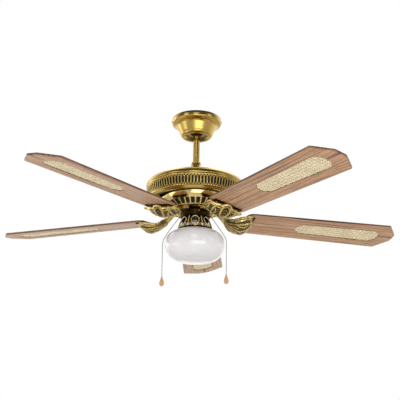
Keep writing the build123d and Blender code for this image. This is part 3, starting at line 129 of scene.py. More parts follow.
class Shader:
    """A material under construction, with one method that adds a node, sets it and links it."""

    def __init__(self, name: str) -> None:
        """Start an empty node tree.

        Args:
            name: The material's name.
        """
        self.material = bpy.data.materials.new(name)
        self.material.use_nodes = True
        self.tree = self.material.node_tree
        self.tree.nodes.clear()
        self.output = self.tree.nodes.new("ShaderNodeOutputMaterial")

    def node(self, kind: str, settings: dict[str, object] | None = None,
             **inputs: object) -> bpy.types.Node:
        """Add one node.

        Args:
            kind: The node's type without its ShaderNode prefix.
            settings: Properties to set on the node.
            **inputs: Values or output sockets for its inputs, with underscores for spaces. A
                number in the key picks an input by index, as in i0 or i1.

        Returns:
            The new node.
        """
        made = self.tree.nodes.new("ShaderNode" + kind)
        for key, value in (settings or {}).items():
            setattr(made, key, value)
        for key, value in inputs.items():
            index = int(key[1:]) if key[0] == "i" and key[1:].isdigit() else key.replace("_", " ")
            socket = made.inputs[index]
            if isinstance(value, bpy.types.NodeSocket):
                self.tree.links.new(value, socket)
            else:
                socket.default_value = value
        return made

    def place(self, use_uv: bool = False) -> bpy.types.NodeSocket:
        """Give the texture space.

        Args:
            use_uv: Take the UV map in place of Object coordinates.

        Returns:
            A vector socket in metres.
        """
        return self.node("TexCoord").outputs["UV" if use_uv else "Object"]

    def stretch(self, vector: bpy.types.NodeSocket, scale: Spot) -> bpy.types.NodeSocket:
        """Scale a texture space along its axes.

        Args:
            vector: The space to scale.
            scale: Repeats per metre along X, Y and Z.

        Returns:
            The scaled vector.
        """
        return self.node("Mapping", Vector=vector, Scale=scale).outputs["Vector"]

    def noise(self, vector: bpy.types.NodeSocket, scale: float, detail: float = 4.0,
              roughness: float = 0.5, distortion: float = 0.0) -> bpy.types.NodeSocket:
        """Add a noise texture.

        Args:
            vector: Texture space.
            scale: Noise cells per unit of that space.
            detail: Octaves.
            roughness: How strong the fine octaves are.
            distortion: Warp of the lookup.

        Returns:
            The noise value, about 0 to 1.
        """
        made = self.node("TexNoise", Vector=vector, Scale=scale, Detail=detail,
                         Roughness=roughness, Distortion=distortion)
        return made.outputs["Fac"]

    def ramp(self, value: bpy.types.NodeSocket, *stops: tuple[float, object]) -> bpy.types.Node:
        """Add a colour ramp.

        Args:
            value: What drives it.
            *stops: Positions with linear colours, or with plain numbers for a grey ramp.

        Returns:
            The ramp node.
        """
        made = self.node("ValToRGB", Fac=value)
        ramp = made.color_ramp
        while len(ramp.elements) < len(stops):
            ramp.elements.new(0.5)
        for element, (position, colour) in zip(ramp.elements, stops):
            element.position = position
            grey = (colour, colour, colour, 1.0) if isinstance(colour, (int, float)) else colour
            element.color = grey
        return made

    def maths(self, operation: str, first: object,
              second: object = 0.0) -> bpy.types.NodeSocket:
        """Add a math node.

        Args:
            operation: Blender's name of the operation.
            first: First input.
            second: Second input.

        Returns:
            The result socket.
        """
        return self.node("Math", {"operation": operation}, i0=first, i1=second).outputs[0]

    def mix(self, factor: object, first: object, second: object) -> bpy.types.NodeSocket:
        """Mix two colours.

        Args:
            factor: Share of the second colour.
            first: First colour.
            second: Second colour.

        Returns:
            The mixed colour.
        """
        made = self.node("Mix", {"data_type": "RGBA"}, i0=factor, i6=first, i7=second)
        return made.outputs[2]

    def bump(self, height: bpy.types.NodeSocket, strength: float,
             distance: float) -> bpy.types.NodeSocket:
        """Add a bump node.

        Args:
            height: Height value.
            strength: Share of the full effect.
            distance: Height of the relief, in metres.

        Returns:
            The normal socket.
        """
        bump = self.node("Bump", Height=height, Strength=strength, Distance=distance)
        return bump.outputs["Normal"]

    def surface(self, settings: dict[str, object], **sockets: object) -> bpy.types.Material:
        """Finish the material with one Principled shader.

        Args:
            settings: Constant inputs by socket name.
            **sockets: Linked or constant inputs, with underscores for spaces.

        Returns:
            The finished material.
        """
        shader = self.node("BsdfPrincipled", **sockets)
        for name, value in settings.items():
            shader.inputs[name].default_value = value
        self.tree.links.new(shader.outputs["BSDF"], self.output.inputs["Surface"])
        return self.material


# ------------------------------------------------------------------ finishes
@dataclass(frozen=True)
class MetalFinish:
    """A metal surface with patina.

    Attributes:
        name: Material name.
        bright: sRGB colour of the clean metal.
        patina: sRGB colour of the toned areas.
        roughness: Low and high roughness.
        recess: sRGB colour collected in carved recesses, read from the relief UV map, or empty:
        partly wax and partly painted shade in the carving. A piece without that map takes this
        colour all over.
        grain: Strength of the polishing lines.
        spun: Share by which polishing on a lathe draws the highlights out along the piece.
    """

    name: str
    bright: str
    patina: str
    roughness: Point
    recess: str = ""
    grain: float = 0.15
    spun: float = 0.0

    def build(self) -> bpy.types.Material:
        """Make the material.

        Returns:
            The node material.
        """
        s = Shader(self.name)
        where = s.place()
        broad = s.noise(where, 7.0, 3.0, 0.55)
        fine = s.noise(where, 420.0, 3.0, 0.6)
        toned = s.ramp(broad, (0.30, 0.0), (0.75, 0.55)).outputs["Color"]
        colour = s.mix(toned, srgb(self.bright), srgb(self.patina))
        # Concave places, found by pointiness, turn toward deep brown on every metal: patina in the
        # brass hollows, and painted shade in the creases.
        edge = s.node("NewGeometry").outputs["Pointiness"]
        hollow = s.ramp(edge, (0.40, 1.0), (0.49, 0.0)).outputs["Color"]
        colour = s.mix(s.maths("MULTIPLY", hollow, 0.55), colour, srgb("#3A2A12"))
        # Partly painted shade: carved recesses turn to the recess colour, as wax left in them and
        # as the shade that falls there.
        if self.recess:
            relief = s.node("UVMap", {"uv_map": "relief"}).outputs["UV"]
            level = s.node("SeparateXYZ", Vector=relief).outputs["X"]
            deep = s.ramp(level, (0.10, 1.0), (0.58, 0.0)).outputs["Color"]
            colour = s.mix(deep, colour, srgb(self.recess))
        low, high = self.roughness
        rough = s.node("MapRange", Value=fine, To_Min=low, To_Max=high).outputs["Result"]
        lines = s.noise(s.stretch(where, (60.0, 60.0, 900.0)), 6.0, 2.0)
        return s.surface({"Metallic": 1.0, "Specular IOR Level": 0.5, "Anisotropic": self.spun},
                         Base_Color=colour, Roughness=rough,
                         Normal=s.bump(lines, self.grain, 0.00012))


@dataclass(frozen=True)
class WoodFinish:
    """Straight-grained wood, with its grain along U.

    Attributes:
        name: Material name.
        pale: sRGB of the early wood.
        middle: sRGB of the main tone.
        dark: sRGB of the pores and late wood.
        gloss: Coat weight of the lacquer.
        use_uv: Follow the UV map in place of Object coordinates.
    """

    name: str
    pale: str
    middle: str
    dark: str
    gloss: float = 0.2
    use_uv: bool = True

    def build(self) -> bpy.types.Material:
        """Make the material.

        Returns:
            The node material.
        """
        s = Shader(self.name)
        where = s.place(self.use_uv)
        warp = s.noise(s.stretch(where, (2.2, 14.0, 14.0)), 1.0, 2.0, 0.5)
        drift = s.node("CombineXYZ", Y=s.maths("MULTIPLY", warp, 0.030)).outputs[0]
        bent = s.node("VectorMath", {"operation": "ADD"}, i0=where, i1=drift).outputs[0]
        bands = s.noise(s.stretch(bent, (1.6, 95.0, 95.0)), 1.0, 5.0, 0.62)
        fibres = s.noise(s.stretch(bent, (18.0, 620.0, 620.0)), 1.0, 3.0, 0.6)
        pores = s.noise(s.stretch(bent, (45.0, 1300.0, 1300.0)), 1.0, 1.0, 0.5)
        broad = s.noise(s.stretch(where, (5.0, 9.0, 9.0)), 1.0, 2.0)
        colour = s.ramp(bands, (0.36, srgb(self.dark)), (0.45, srgb(self.middle)),
                        (0.52, srgb(self.pale)), (0.60, srgb(self.middle)),
                        (0.70, srgb(self.dark))).outputs["Color"]
        fleck = s.ramp(fibres, (0.40, 1.0), (0.52, 0.0)).outputs["Color"]
        colour = s.mix(s.maths("MULTIPLY", fleck, 0.40), colour, srgb(self.dark))
        pore = s.ramp(pores, (0.28, 1.0), (0.36, 0.0)).outputs["Color"]
        colour = s.mix(s.maths("MULTIPLY", pore, 0.6), colour, srgb("#3B2419"))
        shade = s.node("MapRange", Value=broad, To_Min=0.94, To_Max=1.04).outputs["Result"]
        colour = s.node("VectorMath", {"operation": "SCALE"}, i0=colour, Scale=shade).outputs[0]
        rough = s.node("MapRange", Value=fibres, To_Min=0.38, To_Max=0.56).outputs["Result"]
        relief = s.maths("ADD", fibres, s.maths("MULTIPLY", pore, -0.8))
        return s.surface({"Coat Weight": self.gloss, "Coat Roughness": 0.3,
                          "Specular IOR Level": 0.4},
                         Base_Color=colour, Roughness=rough, Normal=s.bump(relief, 0.25, 0.00015))


@dataclass(frozen=True)
class PlainFinish:
    """A non-metal with a fine texture: moulded plastic, glaze, enamel, rubber or cane.

    Attributes:
        name: Material name.
        light: sRGB of the main tone.
        dark: sRGB of the second tone.
        roughness: Low and high roughness.
        scale: Texture cells per metre.
        metallic: Metallic value.
        coat: Coat weight.
        relief: Height of the texture, in metres.
    """

    name: str
    light: str
    dark: str
    roughness: Point
    scale: float = 300.0
    metallic: float = 0.0
    coat: float = 0.0
    relief: float = 0.00005

    def build(self) -> bpy.types.Material:
        """Make the material.

        Returns:
            The node material.
        """
        s = Shader(self.name)
        where = s.place()
        fine = s.noise(where, self.scale, 4.0, 0.6)
        broad = s.noise(where, 24.0, 2.0)
        share = s.ramp(s.maths("MULTIPLY", s.maths("ADD", fine, broad), 0.5), (0.40, 0.0),
                       (0.62, 1.0)).outputs["Color"]
        low, high = self.roughness
        rough = s.node("MapRange", Value=fine, To_Min=low, To_Max=high).outputs["Result"]
        return s.surface({"Metallic": self.metallic, "Coat Weight": self.coat,
                          "Coat Roughness": 0.08},
                         Base_Color=s.mix(share, srgb(self.light), srgb(self.dark)),
                         Roughness=rough, Normal=s.bump(fine, 0.5, self.relief))


@dataclass(frozen=True)
class OpalFinish:
    """Opal glass: a milky body under a polished skin.

    Attributes:
        name: Material name.
        body: sRGB of the milk glass.
        cloud: sRGB of its thicker parts.
        roughness: Roughness of the skin.
    """

    name: str
    body: str
    cloud: str
    roughness: float

    def build(self) -> bpy.types.Material:
        """Make the material.

        Returns:
            The node material.
        """
        s = Shader(self.name)
        where = s.place()
        drift = s.noise(where, 11.0, 3.0, 0.5, 0.4)
        wave = s.noise(where, 55.0, 2.0)
        colour = s.mix(s.ramp(drift, (0.35, 0.0), (0.65, 1.0)).outputs["Color"],
                       srgb(self.body), srgb(self.cloud))
        return s.surface({"Roughness": self.roughness, "Specular IOR Level": 0.5, "IOR": 1.5,
                          "Subsurface Weight": 0.35, "Subsurface Scale": 0.012,
                          "Subsurface Radius": (1.0, 1.0, 1.0), "Coat Weight": 0.6,
                          "Coat Roughness": 0.03},
                         Base_Color=colour, Normal=s.bump(wave, 0.12, 0.0006))


FINISHES = (
    # Brass spun on a lathe, lacquered and darkened with age: a soft gold whose highlights run out
    # along the piece.
    MetalFinish("antique_brass", "#C6AA60", "#AC904C", (0.19, 0.20), grain=0.01, spun=0.75),
    # Buffed brass: lighter, with sharp narrow reflections.
    MetalFinish("polished_brass", "#DEC98A", "#C9AF6C", (0.11, 0.12), grain=0.01, spun=0.6),
    # Cast brass, waxed and wiped: bright on the raised work, dark in the grooves, where the
    # dark is partly wax and partly painted shade. The iron landings have no relief map, so they
    # show dark all over.
    MetalFinish("carved_brass", "#DCC27E", "#BCA260", (0.16, 0.24), "#2A1B0B", 0.06),
    # The same casting in a whiter brass, so the fitter reads paler than the irons, with its
    # grooves darkened the same way, partly wax and partly painted shade. Its crown, rim and beads
    # have no relief map either.
    MetalFinish("pale_brass", "#EFE2C4", "#D6C494", (0.18, 0.30), "#2E2012", 0.06),
    # Oil-rubbed bronze: nearly black, with a faint warm sheen at the turns.
    MetalFinish("dark_bronze", "#3A2C1A", "#241A10", (0.30, 0.42)),
    # Turned brass screws: small bright points.
    MetalFinish("screw_brass", "#CDB05C", "#9E7F3A", (0.18, 0.28)),
    # Nickel-plated beads: a plain grey with a glint on each bead.
    MetalFinish("chain_nickel", "#A8A49E", "#7E7A76", (0.20, 0.32)),
    # Zinc-plated steel sheet: light grey and slightly hazy.
    MetalFinish("zinc_steel", "#B4B6B4", "#8E918F", (0.30, 0.45)),
    # Ground steel: grey with a clean satin shine.
    MetalFinish("ground_steel", "#A8A9AA", "#87888A", (0.22, 0.34)),
    # Stacked electrical steel: dull dark grey.
    MetalFinish("lamination_steel", "#6E7074", "#505257", (0.40, 0.55)),
    # Blackened steel: black with a low oily sheen.
    MetalFinish("black_oxide", "#2C2B2A", "#1C1B1B", (0.34, 0.48)),
    # Enamelled copper wire: red-brown and lightly glazed.
    PlainFinish("copper_winding", "#A4552B", "#6E3013", (0.30, 0.42), 900.0, 0.7, 0.4, 0.0002),
    # Painted iron casting: matt dark grey with a fine tooth.
    PlainFinish("painted_casting", "#3B3A38", "#2A2928", (0.55, 0.70), 380.0, 0.0, 0.0, 0.0002),
    # Moulded nylon: cream and waxy.
    PlainFinish("seat_nylon", "#D9D4C4", "#C4BEAC", (0.45, 0.58)),
    # Moulded black plastic: a soft even sheen.
    PlainFinish("switch_plastic", "#232323", "#161616", (0.42, 0.55)),
    # Moulded white plastic: off-white and slightly shiny.
    PlainFinish("terminal_plastic", "#E2DFD4", "#CFCBBE", (0.40, 0.52)),
    # Glazed porcelain: white under a clear gloss.
    PlainFinish("porcelain", "#ECEAE2", "#DEDBD1", (0.12, 0.20), 80.0, 0.0, 0.6, 0.00003),
    # Painted shade: a flat dark sheet behind the housing's vents and under the rotor's ribs stands
    # in for the shadow inside, so the slots read as holes.
    PlainFinish("vent_liner", "#1C130B", "#120C07", (0.65, 0.80)),
    # Split rattan: pale straw with a slight natural shine.
    PlainFinish("cane_strand", "#F6EACB", "#E9D8AE", (0.42, 0.60), 700.0, 0.0, 0.15, 0.00012),
    # Woven backing cloth: matt tan, seen through the cane.
    PlainFinish("cane_cloth", "#D3BC93", "#C7AF82", (0.60, 0.75), 500.0),
    # Lacquered walnut veneer: long warm grain lines under a light gloss.
    WoodFinish("walnut_veneer", "#CFA27C", "#A97F5E", "#5E3E2A", 0.15),
    # Stained edge of the board: darker and duller than the face.
    WoodFinish("walnut_edge", "#7D5A43", "#644532", "#402A1E", 0.1),
    # Turned and stained maple: fine grain under a thicker gloss than the blades have.
    WoodFinish("drop_maple", "#D2A076", "#C18E64", "#9C6A44", 0.5),
    # Blown opal glass: milky white all through, with a clean shine on the outside.
    OpalFinish("opal_glass", "#E3E1E4", "#DEDCDF", 0.14),
    # Frosted bulb glass: a slightly warmer white under the same thin shine.
    OpalFinish("lamp_glass", "#F0EFEA", "#E6E5E0", 0.35),
)

NODE_FINISH = {
    "hanger_bracket": "zinc_steel", "ball_seat_ring": "seat_nylon", "hanger_ball": "black_oxide",
    "ball_pin": "ground_steel", "terminal_block": "terminal_plastic",
    "motor_yoke": "painted_casting", "yoke_bolt": "zinc_steel",
    "motor_shaft": "ground_steel", "upper_bearing": "ground_steel",
    "lower_bearing": "ground_steel", "stator_core": "lamination_steel",
    "stator_windings": "copper_winding", "rotor_ring": "lamination_steel",
    "rotor_top_shell": "antique_brass", "switch_plate": "zinc_steel", "shaft_nut": "zinc_steel",
    "switch_housing": "dark_bronze", "chain_eyelets": "polished_brass",
    "fan_speed_switch": "switch_plastic", "light_switch": "switch_plastic",
    "capacitor": "switch_plastic", "reverse_switch": "switch_plastic",
    "reverse_slider": "switch_plastic",
    "fitter_nipple": "screw_brass", "lampholder": "porcelain", "bulb": "lamp_glass",
    "rotor_screws": "screw_brass",
}


# ------------------------------------------------------------------ mesh helpers
def arc(start: Point, middle: Point, end: Point, steps: int = 16) -> list[Point]:
    """Sample the circle through three points.

    Args:
        start: First point.
        middle: Point on the way.
        end: Last point.
        steps: Number of chords.

    Returns:
        Points from start to end, both included.
    """
    (ax, ay), (bx, by), (cx, cy) = start, middle, end
    d = 2 * (ax * (by - cy) + bx * (cy - ay) + cx * (ay - by))
    ux = ((ax * ax + ay * ay) * (by - cy) + (bx * bx + by * by) * (cy - ay)
          + (cx * cx + cy * cy) * (ay - by)) / d
    uy = ((ax * ax + ay * ay) * (cx - bx) + (bx * bx + by * by) * (ax - cx)
          + (cx * cx + cy * cy) * (bx - ax)) / d
    radius = math.hypot(ax - ux, ay - uy)
    first = math.atan2(ay - uy, ax - ux)
    via = (math.atan2(by - uy, bx - ux) - first) % math.tau
    last = (math.atan2(cy - uy, cx - ux) - first) % math.tau
    if via > last:
        last -= math.tau
    return [(ux + radius * math.cos(first + last * k / steps),
             uy + radius * math.sin(first + last * k / steps)) for k in range(steps + 1)]


def new_object(name: str, mesh: bpy.types.Mesh, finish: bpy.types.Material | None,
               smooth_below: float = 35.0) -> bpy.types.Object:
    """Put a mesh in the scene with one finish and shading that is smooth below an angle.

    Args:
        name: Object name.
        mesh: Its mesh.
        finish: Material, or None to keep the mesh's own.
        smooth_below: Edges sharper than this many degrees stay crisp.

    Returns:
        The new object.
    """
    mesh.shade_smooth()
    mesh.set_sharp_from_angle(angle=math.radians(smooth_below))
    if finish is not None:
        mesh.materials.clear()
        mesh.materials.append(finish)
    made = bpy.data.objects.new(name, mesh)
    bpy.context.scene.collection.objects.link(made)
    return made


def ring_at(work: bmesh.types.BMesh, radius: float, height: float,
            sides: int) -> list[bmesh.types.BMVert]:
    """Add a circle of vertices about the Z axis.

    Args:
        work: The mesh under construction.
        radius: Its radius in millimetres.
        height: Its height in millimetres.
        sides: Number of vertices.

    Returns:
        The vertices in order.
    """
    return [work.verts.new((radius * MM * math.cos(math.tau * k / sides),
                            radius * MM * math.sin(math.tau * k / sides), height * MM))
            for k in range(sides)]


def stitch(work: bmesh.types.BMesh, rings: list[list[bmesh.types.BMVert]]) -> None:
    """Join each closed ring of vertices to the next with faces.

    Args:
        work: The mesh under construction.
        rings: Rings of equal length.
    """
    for first, second in zip(rings, rings[1:]):
        count = len(first)
        for k in range(count):
            after = (k + 1) % count
            work.faces.new([first[k], first[after], second[after], second[k]])


def finished(work: bmesh.types.BMesh, name: str,
             relief: dict[bmesh.types.BMVert, float] | None = None) -> bpy.types.Mesh:
    """Turn the faces outward and make the mesh.

    Args:
        work: The mesh under construction, which is freed.
        name: Mesh name.
        relief: Height of the carving at each vertex, for the relief UV map.

    Returns:
        The finished mesh.
    """
    bmesh.ops.recalc_face_normals(work, faces=work.faces)
    if relief is not None:
        layer = work.loops.layers.uv.new("relief")
        for face in work.faces:
            for loop in face.loops:
                loop[layer].uv = (relief[loop.vert], 0.5)
    mesh = bpy.data.meshes.new(name)
    work.to_mesh(mesh)
    work.free()
    return mesh


def lathe(name: str, profile: list[Point], finish: bpy.types.Material,
          segments: int = 160, closed: bool = True) -> bpy.types.Object:
    """Turn a profile about the Z axis.

    Args:
        name: Object name.
        profile: Points as (radius, height) in millimetres, outside first, going down.
        finish: Material.
        segments: Steps round the axis.
        closed: Join the last point to the first.

    Returns:
        The turned object.
    """
    work = bmesh.new()
    rings = [ring_at(work, radius, height, 1 if radius < 1e-6 else segments)
             for radius, height in profile]
    pairs = list(zip(rings, rings[1:] + rings[:1])) if closed else list(zip(rings, rings[1:]))
    for upper, lower in pairs:
        if len(upper) == 1 and len(lower) == 1:
            continue
        for k in range(segments):
            after = (k + 1) % segments
            corners = [upper[k % len(upper)], lower[k % len(lower)], lower[after % len(lower)],
                       upper[after % len(upper)]]
            work.faces.new(list(dict.fromkeys(corners)))
    return new_object(name, finished(work, name), finish)


def placed(mesh: bpy.types.Mesh, matrix: Matrix) -> bpy.types.Mesh:
    """Copy a mesh with its place in its vertices.

    Args:
        mesh: The mesh to copy.
        matrix: Where the copy goes.

    Returns:
        The moved copy.
    """
    copy = mesh.copy()
    copy.transform(matrix)
    return copy


def turn(angle: float) -> Matrix:
    """Rotation about the fan's axis.

    Args:
        angle: Degrees.

    Returns:
        A 4 by 4 matrix.
    """
    return Matrix.Rotation(math.radians(angle), 4, "Z")


def blade_place(angle: float) -> Matrix:
    """Place of a blade's own flat frame.

    Args:
        angle: The blade's direction in degrees.

    Returns:
        A 4 by 4 matrix.
    """
    pitch = Matrix.Rotation(math.radians(-BLADE_PITCH), 4, "X")
    return turn(angle) @ Matrix.Translation((0.0, 0.0, BLADE_PLANE * MM)) @ pitch


def blade_angles() -> list[float]:
    """Directions of the blades.

    Returns:
        Degrees about +Z.
    """
    return [FIRST_BLADE_ANGLE + k * 360.0 / BLADE_COUNT for k in range(BLADE_COUNT)]


def joined(name: str, meshes: list[bpy.types.Mesh], finish: bpy.types.Material | None,
           smooth_below: float = 35.0) -> bpy.types.Object:
    """Join meshes into one object.

    Args:
        name: Object name.
        meshes: Meshes already in place.
        finish: Material for all of them.
        smooth_below: Shading angle in degrees.

    Returns:
        The joined object.
    """
    work = bmesh.new()
    for mesh in meshes:
        work.from_mesh(mesh)
    mesh = bpy.data.meshes.new(name)
    work.to_mesh(mesh)
    work.free()
    return new_object(name, mesh, finish, smooth_below)


def flat_plate(name: str, outline: list[Point], holes: list[list[Point]], thick: float,
               bevel: float) -> bpy.types.Mesh:
    """Make a pierced plate in the XY plane, centred on Z.

    Args:
        name: Mesh name.
        outline: Outer polygon in millimetres.
        holes: Inner polygons.
        thick: Thickness in millimetres.
        bevel: Edge rounding in millimetres.

    Returns:
        The plate's mesh.
    """
    curve = bpy.data.curves.new(name, "CURVE")
    curve.dimensions = "2D"
    curve.fill_mode = "BOTH"
    curve.extrude = (thick / 2 - bevel) * MM
    curve.bevel_depth = bevel * MM
    curve.bevel_resolution = 1
    curve.offset = -bevel * MM
    for points in [outline, *holes]:
        spline = curve.splines.new("POLY")
        spline.points.add(len(points) - 1)
        for point, (x, y) in zip(spline.points, points):
            point.co = (x * MM, y * MM, 0.0, 1.0)
        spline.use_cyclic_u = True
    holder = bpy.data.objects.new(name, curve)
    bpy.context.scene.collection.objects.link(holder)
    graph = bpy.context.evaluated_depsgraph_get()
    mesh = bpy.data.meshes.new_from_object(holder.evaluated_get(graph))
    bpy.data.objects.remove(holder)
    bpy.data.curves.remove(curve)
    weld = bmesh.new()
    weld.from_mesh(mesh)
    bmesh.ops.remove_doubles(weld, verts=weld.verts, dist=1e-6)
    bmesh.ops.recalc_face_normals(weld, faces=weld.faces)
    weld.to_mesh(mesh)
    weld.free()
    return mesh


def tube(points: list[Vector], radii: list[float], sides: int = 8) -> bpy.types.Mesh:
    """Sweep a round section along points, with its own radius at each.

    Args:
        points: Centreline in metres.
        radii: Radius at each point, in metres.
        sides: Sides of the section.

    Returns:
        The closed tube's mesh.
    """
    work = bmesh.new()
    rings = []
    side = Vector((0.0, 0.0, 1.0))
    for k, (point, radius) in enumerate(zip(points, radii)):
        ahead = points[min(k + 1, len(points) - 1)] - points[max(k - 1, 0)]
        ahead.normalize()
        side = (side - ahead * side.dot(ahead))
        if side.length < 1e-4:
            side = ahead.orthogonal()
        side.normalize()
        other = ahead.cross(side)
        rings.append([work.verts.new(point + (side * math.cos(math.tau * m / sides)
                                              + other * math.sin(math.tau * m / sides)) * radius)
                      for m in range(sides)])
    stitch(work, rings)
    work.faces.new(rings[0])
    work.faces.new(rings[-1])
    return finished(work, "tube")


# ------------------------------------------------------------------ geometry nodes
class Nodes:
    """A geometry node group under construction, with named inputs."""

    def __init__(self, name: str) -> None:
        """Start an empty group with one geometry input and one geometry output.

        Args:
            name: The group's name.
        """
        self.tree = bpy.data.node_groups.new(name, "GeometryNodeTree")
        face = self.tree.interface
        face.new_socket(name="Geometry", in_out="OUTPUT", socket_type="NodeSocketGeometry")
        face.new_socket(name="Geometry", in_out="INPUT", socket_type="NodeSocketGeometry")
        self.inputs = self.tree.nodes.new("NodeGroupInput")
        self.outputs = self.tree.nodes.new("NodeGroupOutput")

    def param(self, name: str, kind: str) -> bpy.types.NodeSocket:
        """Add a named input.

        Args:
            name: The input's name.
            kind: Socket type without its NodeSocket prefix.

        Returns:
            The socket inside the group.
        """
        self.tree.interface.new_socket(name=name, in_out="INPUT", socket_type="NodeSocket" + kind)
        return self.inputs.outputs[name]

    def node(self, kind: str, settings: dict[str, object] | None = None,
             **inputs: object) -> bpy.types.Node:
        """Add one node.

        Args:
            kind: Full node type name.
            settings: Properties to set on the node.
            **inputs: Values or sockets, with underscores for spaces, or i0, i1 by index.

        Returns:
            The new node.
        """
        made = self.tree.nodes.new(kind)
        for key, value in (settings or {}).items():
            setattr(made, key, value)
        for key, value in inputs.items():
            index = int(key[1:]) if key[0] == "i" and key[1:].isdigit() else key.replace("_", " ")
            socket = made.inputs[index]
            if isinstance(value, bpy.types.NodeSocket):
                self.tree.links.new(value, socket)
            else:
                socket.default_value = value
        return made

    def maths(self, operation: str, first: object, second: object = 0.0) -> bpy.types.NodeSocket:
        """Add a math node.

        Args:
            operation: Blender's name of the operation.
            first: First input.
            second: Second input.

        Returns:
            The result socket.
        """
        return self.node("ShaderNodeMath", {"operation": operation}, i0=first, i1=second).outputs[0]

    def close(self, geometry: bpy.types.NodeSocket,
              finish: bpy.types.NodeSocket) -> bpy.types.NodeTree:
        """End the group in Realize Instances and Set Material.

        Args:
            geometry: What the group made.
            finish: Its material input.

        Returns:
            The finished tree.
        """
        real = self.node("GeometryNodeRealizeInstances", Geometry=geometry)
        last = self.node("GeometryNodeSetMaterial", Geometry=real.outputs[0], Material=finish)
        self.tree.links.new(last.outputs[0], self.outputs.inputs[0])
        return self.tree


def ring_group() -> bpy.types.NodeTree:
    """Copies of one object, evenly spaced about the Z axis.

    Returns:
        The node group.
    """
    g = Nodes("ring_of_copies")
    count = g.param("Count", "Int")
    start = g.param("Start Angle", "Float")
    piece = g.param("Piece", "Object")
    finish = g.param("Finish", "Material")
    points = g.node("GeometryNodePoints", Count=count)
    index = g.node("GeometryNodeInputIndex").outputs[0]
    step = g.maths("DIVIDE", math.tau, count)
    angle = g.maths("ADD", g.maths("MULTIPLY", index, step), start)
    spin = g.node("ShaderNodeCombineXYZ", Z=angle).outputs[0]
    shape = g.node("GeometryNodeObjectInfo", Object=piece)
    copies = g.node("GeometryNodeInstanceOnPoints", Points=points.outputs[0],
                    Instance=shape.outputs["Geometry"], Rotation=spin)
    return g.close(copies.outputs[0], finish)


def scatter_group() -> bpy.types.NodeTree:
    """Copies of one object on a carrier's vertices, turned by the carrier's attribute.

    Returns:
        The node group.
    """
    g = Nodes("copies_at_places")
    piece = g.param("Piece", "Object")
    finish = g.param("Finish", "Material")
    spin = g.node("GeometryNodeInputNamedAttribute", {"data_type": "FLOAT_VECTOR"}, Name="spin")
    shape = g.node("GeometryNodeObjectInfo", Object=piece)
    copies = g.node("GeometryNodeInstanceOnPoints", Points=g.inputs.outputs["Geometry"],
                    Instance=shape.outputs["Geometry"], Rotation=spin.outputs[0])
    return g.close(copies.outputs[0], finish)


def bead_group() -> bpy.types.NodeTree:
    """Beads on a wire that both follow the carrier's polyline.

    Returns:
        The node group.
    """
    g = Nodes("bead_chain")
    pitch = g.param("Bead Pitch", "Float")
    bead = g.param("Bead Radius", "Float")
    wire = g.param("Wire Radius", "Float")
    finish = g.param("Finish", "Material")
    line = g.node("GeometryNodeMeshToCurve", Mesh=g.inputs.outputs["Geometry"]).outputs[0]
    even = g.node("GeometryNodeResampleCurve", {"mode": "LENGTH"}, Curve=line, Length=pitch)
    ball = g.node("GeometryNodeMeshUVSphere", Segments=14, Rings=9, Radius=bead)
    round_ball = g.node("GeometryNodeSetShadeSmooth", Geometry=ball.outputs["Mesh"])
    beads = g.node("GeometryNodeInstanceOnPoints", Points=even.outputs[0],
                   Instance=round_ball.outputs[0])
    section = g.node("GeometryNodeCurvePrimitiveCircle", Resolution=6, Radius=wire)
    rod = g.node("GeometryNodeCurveToMesh", Curve=line, Profile_Curve=section.outputs[0])
    both = g.node("GeometryNodeJoinGeometry")
    g.tree.links.new(beads.outputs[0], both.inputs[0])
    g.tree.links.new(rod.outputs[0], both.inputs[0])
    return g.close(both.outputs[0], finish)


def weave_group() -> bpy.types.NodeTree:
    """Flat strands along the carrier's edges, each waving over and under.

    Returns:
        The node group.
    """
    g = Nodes("cane_weave")
    width = g.param("Strand Width", "Float")
    thick = g.param("Strand Thickness", "Float")
    pitch = g.param("Weave Pitch", "Float")
    height = g.param("Weave Height", "Float")
    finish = g.param("Finish", "Material")
    line = g.node("GeometryNodeMeshToCurve", Mesh=g.inputs.outputs["Geometry"]).outputs[0]
    even = g.node("GeometryNodeResampleCurve", {"mode": "LENGTH"}, Curve=line,
                  Length=g.maths("DIVIDE", pitch, 2.0))
    phase = g.node("GeometryNodeInputNamedAttribute", {"data_type": "FLOAT"}, Name="phase")
    place = g.node("GeometryNodeSplineParameter").outputs["Length"]
    turns = g.maths("ADD", g.maths("DIVIDE", g.maths("MULTIPLY", place, math.pi), pitch),
                    phase.outputs[0])
    lift = g.maths("MULTIPLY", g.maths("COSINE", turns), height)
    offset = g.node("ShaderNodeCombineXYZ", Z=lift).outputs[0]
    waved = g.node("GeometryNodeSetPosition", Geometry=even.outputs[0], Offset=offset)
    level = g.node("GeometryNodeSetCurveNormal", {"mode": "Z_UP"}, Curve=waved.outputs[0])
    section = g.node("GeometryNodeCurvePrimitiveQuadrilateral", Width=width, Height=thick)
    strip = g.node("GeometryNodeCurveToMesh", Curve=level.outputs[0],
                   Profile_Curve=section.outputs[0], Fill_Caps=True)
    return g.close(strip.outputs[0], finish)


